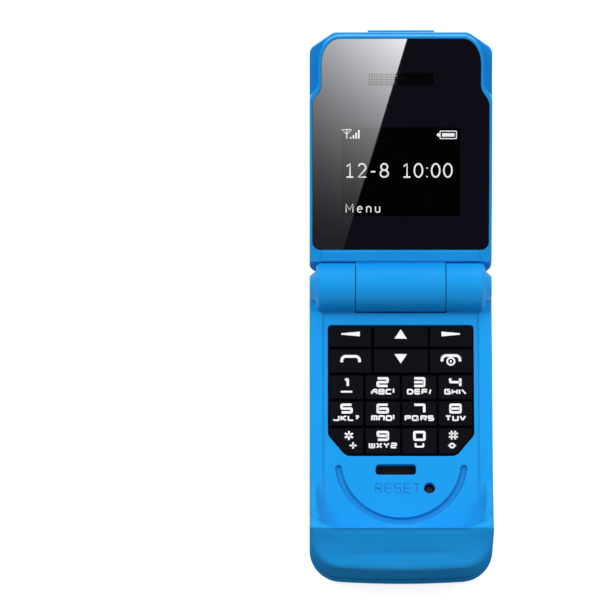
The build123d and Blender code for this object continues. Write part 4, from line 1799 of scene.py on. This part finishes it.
@dataclass
class BaseDetails:
    """Pressed word and groove in painted shade, cloth, case seam, screws and socket contacts of the
    base, in mm.
    """

    shop: Workshop
    film: float = 0.01
    panel_below_axis: float = 0.55
    reset_word: StrokeType = StrokeType(1.0, 1.42, 0.2, 0.27)
    reset_bend: float = 0.2
    reset_place: Point = (-0.55, -32.6)
    groove_middle: Point = (0.0, -28.15)
    groove_radius: float = 9.83
    groove_turn: Point = (186.0, 354.0)
    groove_steps: int = 48
    groove_width: float = 1.0
    groove_depth: float = 0.4
    mic_cloth: WireCloth = WireCloth((6.2, 1.58), 0.24, 0.12, 0.12, 0.04)
    mic_place: Point = (-0.85, -29.6)
    cloth_below_axis: float = 1.62
    seam_height: float = 0.09
    seam_depth: float = 0.006
    seam_ease: float = 0.3
    case_split: float = 3.4
    half_width: float = 14.25
    hinge_end: float = 1.7
    hinge_corner: float = 1.9
    chin_end: float = 46.0
    chin_bow: float = 0.7
    chin_corner: float = 5.0
    chin_lean: float = 1.2
    chin_steps: int = 10
    socket_station: float = 35.2
    socket_half: float = 3.95
    screw: CrossScrew = CrossScrew()
    screw_spacing: Point = (21.2, 40.3)
    screw_middle: float = -21.85
    screw_seed: int = 7
    contact_size: Triple = (2.9, 0.36, 0.05)
    contact_nose: float = 0.1
    contact_pitch: float = 0.8
    contact_count: int = 5
    contact_place: Triple = (10.6, -35.2, -5.7)

    def word(self) -> None:
        """Lays the pressed function word on the panel below the keys, in a darker blue that is
        painted shade.
        """
        drawing = Drawing(self.reset_word.stroke, self.reset_bend)
        mesh = drawing.word("RESET", self.reset_word, *self.reset_place).mesh(
            self.shop.strips,
            self.shop.finishes.get(PAINTED_SHADE_BLUE),
            self.shop.places.face().matrix(lift=-self.panel_below_axis),
            self.film,
        )
        self.shop.piece("reset_word", [mesh], Body.BASE.value, "blue_case")

    def groove_shade_film(self) -> None:
        """Lays a film of painted shade, a darker blue, along the floor of the curved groove."""
        radius = self.groove_radius
        arc = bow(*self.groove_middle, radius, radius, *self.groove_turn, self.groove_steps)
        mesh = Drawing(self.groove_width, bend=0.0).line(arc).mesh(
            self.shop.strips,
            self.shop.finishes.get(LIGHT_PAINTED_SHADE_BLUE),
            self.shop.places.face().matrix(lift=-self.panel_below_axis - self.groove_depth),
            self.film,
        )
        self.shop.piece("groove_shade_film", [mesh], Body.BASE.value, "blue_case")

    def cloth(self) -> None:
        """Weaves the cloth seen through the microphone slot."""
        place = self.shop.places.face().matrix(*self.mic_place, -self.cloth_below_axis)
        meshes = self.mic_cloth.weave(self.shop, place, ACOUSTIC_CLOTH)
        self.shop.piece("microphone_cloth", meshes, Body.BASE.value, "black_mesh")

    def outline(self) -> list[Point]:
        """Follows the case's outline, from one side of the socket's mouth to the other.

        Returns:
            The points.
        """
        side, end, turn = self.half_width, self.hinge_end, self.hinge_corner
        chin, corner = self.chin_bow - self.chin_end, self.chin_corner
        inner = side - corner
        middle = chin + corner - self.chin_lean * self.chin_bow / side
        steps = self.chin_steps
        crossing = [inner * step / steps for step in range(1 - steps, steps)]
        return [
            (side, self.socket_half - self.socket_station),
            *quarter_round(side - turn, end - turn, turn, 0),
            *quarter_round(turn - side, end - turn, turn, 90),
            *quarter_round(-inner, middle, corner, 180)[:-1],
            *((x, chin - self.chin_bow * (1 - (x / side) ** 2)) for x in crossing),
            *quarter_round(inner, middle, corner, 270)[1:],
            (side, -self.socket_half - self.socket_station),
        ]

    def seam(self) -> None:
        """Runs the seam round the case, where its two halves meet."""
        strip = self.shop.strips.grow(
            path_mesh([(self.outline(), False)]),
            Strip_Width=self.seam_depth,
            Strip_Height=self.seam_height,
            Edge_Radius=self.seam_depth * self.seam_ease,
            Bend_Radius=0.0,
            Bend_Steps=1,
            Finish=self.shop.finishes.get(SEAM_SHADE),
        )
        strip.transform(self.shop.places.above_back(self.case_split))
        self.shop.piece("case_seam", [strip], Body.BASE.value, "blue_case")

    def screws(self) -> None:
        """Sets the four case screws, each stopped at its own angle."""
        across, along = self.screw_spacing
        grown = self.shop.grids.grow(
            self.screw.mesh(),
            Columns=2,
            Rows=2,
            Column_Step=across,
            Row_Step=along,
            Middle=(0.0, self.screw_middle, 0.0),
            Random_Turn=math.tau,
            Seed=self.screw_seed,
            Finish=self.shop.finishes.get(BLACKENED_STEEL),
        )
        grown.transform(self.shop.places.above_back(0.0))
        screws = self.shop.piece("case_screw_set", [grown], Body.BASE.value, "stamped_steel")
        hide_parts("case_screws")

    def contacts(self) -> None:
        """Lays the gold contacts under the socket's tongue, each with a narrowed nose."""
        length, width, thick = self.contact_size
        tip = length / 2
        outline = [
            (-tip, -width / 2),
            (tip - self.contact_nose, -width / 2),
            (tip, -width / 4),
            (tip, width / 4),
            (tip - self.contact_nose, width / 2),
            (-tip, width / 2),
        ]
        grown = self.shop.grids.grow(
            prism(outline, -thick, 0.0),
            Columns=1,
            Rows=self.contact_count,
            Row_Step=self.contact_pitch,
            Finish=self.shop.finishes.get(GOLD_FLASH),
        )
        grown.transform(self.shop.places.face().matrix(*self.contact_place))
        self.shop.piece("socket_contacts", [grown], Body.BASE.value)

    def build(self) -> None:
        """Builds every detail of the base."""
        self.word()
        self.groove_shade_film()
        self.cloth()
        self.seam()
        self.screws()
        self.contacts()


@dataclass
class LidDetails:
    """Display picture, earpiece grille, washers, bezel forms and the strap's pictograms.

    Sizes are in mm, and places are from the hinge axis.
    """

    shop: Workshop
    film: float = 0.01
    glass_sink: float = 0.1
    pane: tuple[float, float, float, float] = (-9.35, 9.25, 11.35, 25.5)
    date_span: Point = (-8.6, -1.85)
    time_span: Point = (0.3, 8.1)
    digits: Triple = (17.48, 2.36, 0.24)
    menu_span: Point = (-8.62, -3.2)
    menu: Triple = (11.9, 1.5, 0.17)
    icon_foot: float = 23.72
    icon_top: float = 25.15
    mast: float = -8.45
    mast_arm: float = 0.75
    mast_stroke: float = 0.17
    signal_bars: tuple[float, ...] = (0.25, 0.55, 0.92, 1.35)
    signal_start: float = -7.95
    signal_width: float = 0.25
    signal_pitch: float = 0.42
    cell_span: Point = (6.1, 8.65)
    cell_height: float = 1.18
    cell_stroke: float = 0.15
    cell_bend: float = 0.1
    charge_inset: Point = (0.3, 0.32)
    nose: Triple = (5.55, 5.75, 6.05)
    nose_half: float = 0.27
    grille_cloth: WireCloth = WireCloth((10.3, 1.9), 0.38, 0.27, 0.04, 0.0)
    ear_station: float = 33.1
    ear_sink: float = 0.17
    strap_out: float = 3.9
    card_outline: tuple[Point, ...] = (
        (-1.66, -2.5),
        (0.58, -2.5),
        (0.58, 0.38),
        (-0.85, 0.38),
        (-1.66, -0.5),
    )
    card_film: float = 0.008
    card_stroke: float = 0.24
    card_bend: float = 0.3
    arrow: Triple = (2.02, 0.3, -2.2)
    arrow_head: Point = (0.66, 0.8)
    arrow_stroke: float = 0.32
    pictogram_film: float = 0.018
    window_corner: Point = (13.81, 5.97)
    window_round: float = 1.3
    window_steps: int = 12
    bar: Triple = (4.3, 5.93, 0.26)
    bar_half: Point = (12.7, 12.4)
    bar_round: float = 0.6
    bar_slope: float = 0.24
    bar_steps: int = 6
    washer: Point = (3.0, 3.6)
    washer_gap: Point = (7.01, 7.11)
    washer_flats: int = 64

    def lettering(self, word: str, span: Point, size: Triple) -> Drawing:
        """Sets a word of the display in plain round type.

        Args:
            word: What it says, of characters in DISPLAY_GLYPHS.
            span: Its left and right ends.
            size: Where its foot stands, how tall its digits are and how wide its strokes.

        Returns:
            The word.
        """
        foot, height, stroke = size
        drawing = Drawing(stroke, bend=0.0)
        scale = height - stroke
        widths = [DISPLAY_GLYPHS[letter][0] * scale for letter in word]
        gap = (span[1] - span[0] - stroke - sum(widths)) / (len(word) - 1)
        left = span[0] + stroke / 2
        for letter, width in zip(word, widths):
            for points, closed in DISPLAY_GLYPHS[letter][1]:
                spots = [(left + x * scale, foot + stroke / 2 + y * scale) for x, y in points]
                drawing.line(spots, closed)
            left += width + gap
        return drawing

    def signal(self) -> Drawing:
        """Draws the signal's mast with its rising bars.

        Returns:
            The icon.
        """
        x, arm, foot, top = self.mast, self.mast_arm, self.icon_foot, self.icon_top
        mast = [(x, foot), (x, top), (x - arm, top), (x, top - arm), (x + arm, top), (x, top)]
        drawing = Drawing(self.mast_stroke, bend=0.0).line(mast)
        for step, tall in enumerate(self.signal_bars):
            left = self.signal_start + self.signal_pitch * step
            drawing.box(left, left + self.signal_width, foot, foot + tall)
        return drawing

    def cell(self) -> Drawing:
        """Draws the battery: its case, its charge and its nose.

        Returns:
            The icon.
        """
        left, right = self.cell_span
        half = self.cell_height / 2
        middle = self.icon_foot + half
        low, high = middle - half, middle + half
        drawing = Drawing(self.cell_stroke, self.cell_bend)
        drawing.line([(left, low), (right, low), (right, high), (left, high)], closed=True)
        aside, inset = self.charge_inset
        drawing.box(left + aside, right - aside, low + inset, high - inset)
        tip, shoulder, root = self.nose
        low, high = middle - self.nose_half, middle + self.nose_half
        drawing.fill([(tip, middle), (shoulder, low), (root, low), (root, high), (shoulder, high)])
        return drawing

    def picture(self) -> None:
        """Lays the display's dark film and its lit date, time, word and icons."""
        inside = self.shop.places.lid_inside()
        sheet = Drawing().box(*self.pane).mesh(
            self.shop.strips,
            self.shop.finishes.get(DARK_DISPLAY),
            inside.matrix(lift=-self.glass_sink),
            self.film / 2,
        )
        self.shop.piece("display_pane", [sheet], Body.LID.value, "display")
        drawings = [
            self.lettering("12-8", self.date_span, self.digits),
            self.lettering("10:00", self.time_span, self.digits),
            self.lettering("Menu", self.menu_span, self.menu),
            self.signal(),
            self.cell(),
        ]
        lit = self.shop.finishes.get(LIT_PIXELS)
        place = inside.matrix(lift=self.film - self.glass_sink)
        lines = [drawing.mesh(self.shop.strips, lit, place, self.film) for drawing in drawings]
        self.shop.piece("display_picture", lines, Body.LID.value)

    def grille(self) -> None:
        """Lays the fine flat grille in the earpiece slot."""
        place = self.shop.places.lid_inside().matrix(0.0, self.ear_station, -self.ear_sink)
        meshes = self.grille_cloth.weave(self.shop, place, LACQUERED_MESH)
        for mesh in meshes:
            mesh.shade_flat()
        self.shop.piece("earpiece_grille", meshes, Body.LID.value, "black_mesh")

    def pictograms(self) -> None:
        """Lays the card and arrow that are pressed into the strap, in darker blues that are painted
        shade.
        """
        outline = list(self.card_outline)
        card = Drawing().fill(outline)
        card_line = Drawing(self.card_stroke, self.card_bend).line(outline, closed=True)
        x, tail, tip = self.arrow
        half, back = self.arrow_head
        arrow = Drawing(self.arrow_stroke, bend=0.0).line([(x, tail), (x, tip)])
        arrow.line([(x - half, tip + back), (x, tip), (x + half, tip + back)])
        place = self.shop.places.lid_outside().matrix(lift=self.strap_out)
        for name, finish, film, drawings in (
            ("strap_card", LIGHT_PAINTED_SHADE_BLUE, self.card_film, [card]),
            ("strap_pictograms", DEEP_PAINTED_SHADE_BLUE, self.pictogram_film, [card_line, arrow]),
        ):
            material = self.shop.finishes.get(finish)
            meshes = [drawing.mesh(self.shop.strips, material, place, film) for drawing in drawings]
            self.shop.piece(name, meshes, Body.LID.value, "blue_case")

    def washers(self) -> None:
        """Sets the thin washers that fill the gaps between the lid's barrel and the knuckles, in a
        darker blue that is painted shade in the gaps.
        """
        inner, outer = self.washer
        start, end = self.washer_gap
        profile = [(inner, start), (outer, start), (outer, end), (inner, end), (inner, start)]
        rings = []
        for side in (-1, 1):
            ring = turned(profile, self.washer_flats)
            turn = Matrix.Rotation(side * math.pi / 2, 4, "Y")
            ring.transform(Matrix.Translation(self.shop.places.hinge) @ turn @ Matrix.Scale(MM, 4))
            ring.materials.append(self.shop.finishes.get(PAINTED_SHADE_BLUE))
            rings.append(ring)
        self.shop.piece("hinge_washers_painted_shade", rings, Body.LID.value, "blue_case")

    def window_corners(self) -> None:
        """Rounds the bezel's two corners nearest the hinge, level with the rim."""
        side, start = self.window_corner
        radius = self.window_round
        arc = bow(radius - side, start + radius, radius, radius, 270, 180, self.window_steps)
        corner = [(-side, start), *arc]
        plates = []
        for outline in ([(-x, y) for x, y in reversed(corner)], corner):
            plate = prism(outline, -self.glass_sink, 0.0)
            plate.materials.append(self.shop.finishes.get(SATIN_BLUE))
            plate.transform(self.shop.places.lid_inside().matrix())
            plates.append(plate)
        self.shop.piece("bezel_corner_rounds", plates, Body.LID.value, "blue_case")

    def foot_bar(self) -> None:
        """Raises the low bar along the bezel's foot, with rounded corners and sloping edges."""
        low, high, proud = self.bar
        outlines = []
        for inset in (0.0, self.bar_slope):
            foot, head = (half - inset for half in self.bar_half)
            radius = self.bar_round - inset
            x, y = head - radius, high - inset - radius
            corner = bow(x, y, radius, radius, 0, 90, self.bar_steps)
            mirrored = [(-x, y) for x, y in reversed(corner)]
            outlines.append([(-foot, low), (foot, low), *corner, *mirrored])
        plate = prism(outlines[0], -proud, proud, outlines[1])
        plate.materials.append(self.shop.finishes.get(CRISP_BLUE))
        plate.transform(self.shop.places.lid_inside().matrix())
        self.shop.piece("bezel_foot_bar", [plate], Body.LID.value, "blue_case")

    def build(self) -> None:
        """Builds every detail of the lid."""
        self.washers()
        self.foot_bar()
        self.window_corners()
        self.picture()
        self.grille()
        self.pictograms()


@dataclass
class CoverTrim:
    """The brushed strip let into the cover on its bed of black tape, whose edges beside the strip
    are painted shade, in mm from the hinge axis.
    """

    shop: Workshop
    half: float = 9.2
    start: float = 9.8
    end: float = 33.5
    bend: float = 2.9
    bend_steps: int = 14
    strip: Triple = (1.3, 0.4, 0.16)
    tape: Triple = (1.7, 0.1, 0.02)
    end_steps: int = 7
    tip_share: float = 0.02
    cover_out: float = 4.5
    groove: float = 0.35

    def layer(self, size: Triple, finish: Finish) -> bpy.types.Mesh:
        """Sweeps one layer along the U and seats it on the groove's floor.

        Args:
            size: Its width, height and edge radius.
            finish: Its finish.

        Returns:
            The layer, with round ends.
        """
        width, height, edge = size
        half, reach = self.half, self.start - width / 2
        path = [(-half, -reach), (-half, -self.end), (half, -self.end), (half, -reach)]
        layer = self.shop.strips.grow(
            path_mesh([(path, False)]),
            Strip_Width=width,
            Strip_Height=height,
            Edge_Radius=edge,
            Bend_Radius=self.bend,
            Bend_Steps=self.bend_steps,
            Finish=self.shop.finishes.get(finish),
        )
        self.round_ends(layer, width / 2)
        lift = self.cover_out - self.groove + height / 2
        layer.transform(self.shop.places.lid_outside().matrix(lift=lift))
        return layer

    def round_ends(self, layer: bpy.types.Mesh, radius: float) -> None:
        """Draws both ends of a layer in to half rounds.

        Args:
            layer: The layer, flat, with its legs along Y and its ends at their top.
            radius: Half of its width.
        """
        form = bmesh.new()
        form.from_mesh(layer)
        for step in range(self.end_steps):
            level = radius * math.sin(math.pi / 2 * step / self.end_steps) - self.start
            bmesh.ops.bisect_plane(
                form,
                geom=[*form.verts, *form.edges, *form.faces],
                plane_co=(0.0, level, 0.0),
                plane_no=(0.0, 1.0, 0.0),
            )
        for vertex in form.verts:
            past = (vertex.co.y + self.start) / radius
            if past > 0.0:
                middle = math.copysign(self.half, vertex.co.x)
                share = math.sqrt(max(self.tip_share, 1.0 - past**2))
                vertex.co.x = middle + (vertex.co.x - middle) * share
        form.to_mesh(layer)
        form.free()

    def build(self) -> None:
        """Lays the tape in the groove, its edges painted shade round the strip, and the bright
        strip on it.
        """
        tape = self.layer(self.tape, TAPE_AND_GAP_SHADE)
        self.shop.piece("trim_tape_and_gap_shade", [tape], Body.COVER.value, "black_rubber")
        strip = self.layer(self.strip, BRUSHED_FOIL)
        trim = self.shop.piece("trim_brushed", [strip], Body.COVER.value, "bright_trim")
        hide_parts("trim_strip")


# ---------------------------------------------------------------- studio


@dataclass(frozen=True)
class Lamp:
    """A soft square lamp: its name, where it hangs, its side and its power in watts."""

    name: str
    spot: Triple
    side: float
    watts: float


@dataclass
class Studio:
    """Pale floor, soft lamps, camera, and the cards that the black glass mirrors.

    Sizes are in metres, apart from the graded card, whose outline is in mm on the glass.
    """

    places: PhoneFrame
    image_width: float = 0.09396
    eye_distance: float = 1.2
    elevation: float = 72.0
    aim: Vector = field(default_factory=lambda: Vector((-0.01574, 0.02014, 0.00859)))
    sensor: float = 36.0
    clip: Point = (0.05, 20.0)
    floor_half: float = 3.0
    floor_colour: str = "b0b0b0"
    floor_glow: float = 0.78
    room_light: float = 0.3
    lamps: tuple[Lamp, ...] = (
        Lamp("soft_left", (-0.7, 0.35, 0.75), 0.7, 7.8),
        Lamp("soft_right", (0.72, 0.1, 0.65), 0.7, 5.2),
        Lamp("soft_back", (0.1, 1.0, 0.5), 0.6, 5.0),
    )
    glass_middle: float = 22.0
    glass_reflectance: float = 0.042
    card_colour: str = "f4f5f8"
    card_distance: float = 0.5
    card_steps: int = 16
    card_foot: float = 3.0
    card_height: float = 40.0
    card_left: float = -20.0
    card_right: float = -9.9
    card_slant: float = 11.85
    card_dark: float = 0.01
    card_bright: float = 1.15
    card_rise_power: float = 2.7
    card_left_share: float = 0.25
    card_side_power: float = 1.3
    flag_colour: str = "101014"
    flag_half: float = 0.07
    flag_gap: float = 0.02
    low_flag: Triple = (0.0, -0.085, 0.0003)

    def eye(self) -> Vector:
        """Where the camera stands."""
        lift = math.radians(self.elevation)
        return self.aim + Vector((0, -math.cos(lift), math.sin(lift))) * self.eye_distance

    def camera(self) -> None:
        """Sets up the camera."""
        data = bpy.data.cameras.new("eye")
        data.sensor_width = self.sensor
        data.lens = self.sensor * self.eye_distance / self.image_width
        data.clip_start, data.clip_end = self.clip
        camera = in_scene("eye", data)
        camera.location = self.eye()
        camera.rotation_mode = "QUATERNION"
        camera.rotation_quaternion = (self.aim - self.eye()).to_track_quat("-Z", "Y")
        bpy.context.scene.camera = camera

    def looked_at(self, tree: bpy.types.NodeTree) -> bpy.types.NodeSocket:
        """Tells the rays of the eye, mirrors and glass from those that only carry light.

        Args:
            tree: The floor's or the world's tree.

        Returns:
            1 for a ray that looks, and 0 for one that carries light.
        """
        path = add_node(tree, "ShaderNodeLightPath")
        looks = path.outputs["Is Camera Ray"]
        for kind in ("Is Glossy Ray", "Is Transmission Ray"):
            links = {0: looks, 1: path.outputs[kind]}
            either = add_node(tree, "ShaderNodeMath", {"operation": "MAXIMUM"}, links=links)
            looks = either.outputs[0]
        return looks

    def floor(self) -> None:
        """Lays the pale floor, white to the eye and still shaded under the phone."""
        half = self.floor_half
        mesh = bpy.data.meshes.new("floor")
        corners = [(-half, -half, 0), (half, -half, 0), (half, half, 0), (-half, half, 0)]
        mesh.from_pydata(corners, [], [(0, 1, 2, 3)])
        material = bpy.data.materials.new("pale_paper")
        tree = empty_tree(material)
        paper = add_node(tree, "ShaderNodeBsdfDiffuse", values={"Color": linear(self.floor_colour)})
        strength = add_node(
            tree,
            "ShaderNodeMath",
            {"operation": "MULTIPLY"},
            {1: self.floor_glow},
            {0: self.looked_at(tree)},
        )
        lift = add_node(
            tree,
            "ShaderNodeEmission",
            values={"Color": (1, 1, 1, 1)},
            links={"Strength": strength.outputs[0]},
        )
        both = add_node(
            tree, "ShaderNodeAddShader", links={0: paper.outputs[0], 1: lift.outputs[0]}
        )
        add_node(tree, "ShaderNodeOutputMaterial", links={"Surface": both.outputs[0]})
        mesh.materials.append(material)
        in_scene("floor", mesh)

    def world(self) -> None:
        """Fills the room with even light, white where the camera looks past the floor."""
        world = bpy.data.worlds.new("room")
        bpy.context.scene.world = world
        tree = empty_tree(world)
        level = add_node(
            tree,
            "ShaderNodeMapRange",
            values={"To Min": self.room_light, "To Max": 1.0},
            links={"Value": self.looked_at(tree)},
        )
        light = add_node(
            tree,
            "ShaderNodeBackground",
            values={"Color": (1, 1, 1, 1)},
            links={"Strength": level.outputs[0]},
        )
        add_node(tree, "ShaderNodeOutputWorld", links={"Surface": light.outputs[0]})

    def hang(self, lamp: Lamp) -> None:
        """Hangs a lamp that points at the phone.

        Args:
            lamp: The lamp.
        """
        data = bpy.data.lights.new(lamp.name, "AREA")
        data.shape = "SQUARE"
        data.size = lamp.side
        data.energy = lamp.watts
        light = in_scene(lamp.name, data)
        light.visible_glossy = False
        light.location = lamp.spot
        light.rotation_mode = "QUATERNION"
        light.rotation_quaternion = (self.places.hinge - Vector(lamp.spot)).to_track_quat("-Z", "Y")

    def reflected(self, point: Vector) -> Vector:
        """Finds where the eye's ray to a point of the glass goes from there.

        Args:
            point: The point, in metres.

        Returns:
            The ray's new direction.
        """
        out = self.places.lid_inside().out
        ray = (point - self.eye()).normalized()
        return ray - 2 * ray.dot(out) * out

    def mirrored(self, x: float, away: float) -> Vector:
        """Finds where the eye's view of a spot on the glass lands on the graded card.

        Args:
            x: The spot, across the lid, in mm.
            away: The spot, from the hinge, in mm.

        Returns:
            The point of the card.
        """
        inside = self.places.lid_inside()
        middle = inside.matrix(0.0, self.glass_middle).translation
        spot = inside.matrix(x, away).translation
        axis, ray = self.reflected(middle), self.reflected(spot)
        centre = middle + axis * self.card_distance
        return spot + ray * ((centre - spot).dot(axis) / ray.dot(axis))

    def card(
        self,
        name: str,
        colour: str,
        corners: list[Vector],
        faces: list[tuple[int, ...]],
        glows: list[float] | None = None,
    ) -> None:
        """Hangs a card that only mirror reflections show.

        Args:
            name: Name of the card and its material.
            colour: Colour of its light.
            corners: Its points.
            faces: The points of each face.
            glows: Strength of its light at each point, or none where it is 1 all over.
        """
        mesh = bpy.data.meshes.new(name)
        mesh.from_pydata(corners, [], faces)
        material = bpy.data.materials.new(name)
        tree = empty_tree(material)
        links = {}
        if glows:
            mesh.attributes.new("glow", "FLOAT", "POINT").data.foreach_set("value", glows)
            glow = add_node(tree, "ShaderNodeAttribute", {"attribute_name": "glow"})
            links["Strength"] = glow.outputs["Fac"]
        light = add_node(tree, "ShaderNodeEmission", values={"Color": linear(colour)}, links=links)
        add_node(tree, "ShaderNodeOutputMaterial", links={"Surface": light.outputs[0]})
        mesh.materials.append(material)
        card = in_scene(name, mesh)
        card.visible_camera = False
        card.visible_diffuse = False
        card.visible_shadow = False
        card.visible_transmission = False
        card.visible_volume_scatter = False

    def graded_card(self) -> None:
        """Hangs the graded card, whose slanting edge cuts the glass in two."""
        steps, left_share = self.card_steps, self.card_left_share
        corners, glows, faces = [], [], []
        for row in range(steps + 1):
            rise = row / steps
            away = self.card_foot + rise * self.card_height
            width = self.card_right + rise * self.card_slant - self.card_left
            for column in range(steps + 1):
                share = column / steps
                corners.append(self.mirrored(self.card_left + share * width, away))
                across = left_share + (1 - left_share) * share**self.card_side_power
                seen = self.card_dark + self.card_bright * rise**self.card_rise_power * across
                glows.append(seen / self.glass_reflectance)
        for row in range(steps):
            for column in range(steps):
                first = row * (steps + 1) + column
                faces.append((first, first + 1, first + steps + 2, first + steps + 1))
        self.card("graded_card", self.card_colour, corners, faces, glows)

    def flag(self, name: str, spot: Vector, facing: Vector) -> None:
        """Hangs a black card that keeps the room's light out of the gloss.

        Args:
            name: Name of the card.
            spot: Its middle.
            facing: The direction it stands square to.
        """
        across = Vector((1, 0, 0))
        up = facing.cross(across).normalized()
        corners = [
            spot + across * x * self.flag_half + up * y * self.flag_half
            for x, y in ((-1, -1), (1, -1), (1, 1), (-1, 1))
        ]
        self.card(name, self.flag_colour, corners, [(0, 1, 2, 3)])

    def build(self) -> None:
        """Sets up the whole studio."""
        bpy.context.scene.view_settings.view_transform = "Standard"
        self.camera()
        self.floor()
        self.world()
        for lamp in self.lamps:
            self.hang(lamp)
        self.graded_card()
        middle = self.places.lid_inside().matrix(0.0, self.glass_middle).translation
        back = self.reflected(middle)
        self.flag("black_flag_front", middle + back * (self.card_distance + self.flag_gap), back)
        self.flag("black_flag_low", Vector(self.low_flag), Vector((0, 0, 1)))


def main() -> None:
    """Builds the phone's looks in order."""
    logging.basicConfig(level=logging.INFO, format="%(name)s %(message)s")
    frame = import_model()
    places = PhoneFrame.read(frame)
    shop = Workshop(places)
    keys = sorted(name for name in frame["nodes"] if is_key(name))
    CarriedNodes(shop, frame["nodes"]).dress()
    KeyLegends(shop).build(keys)
    BaseDetails(shop).build()
    LidDetails(shop).build()
    CoverTrim(shop).build()
    Studio(places).build()


if __name__ == "__main__":
    main()
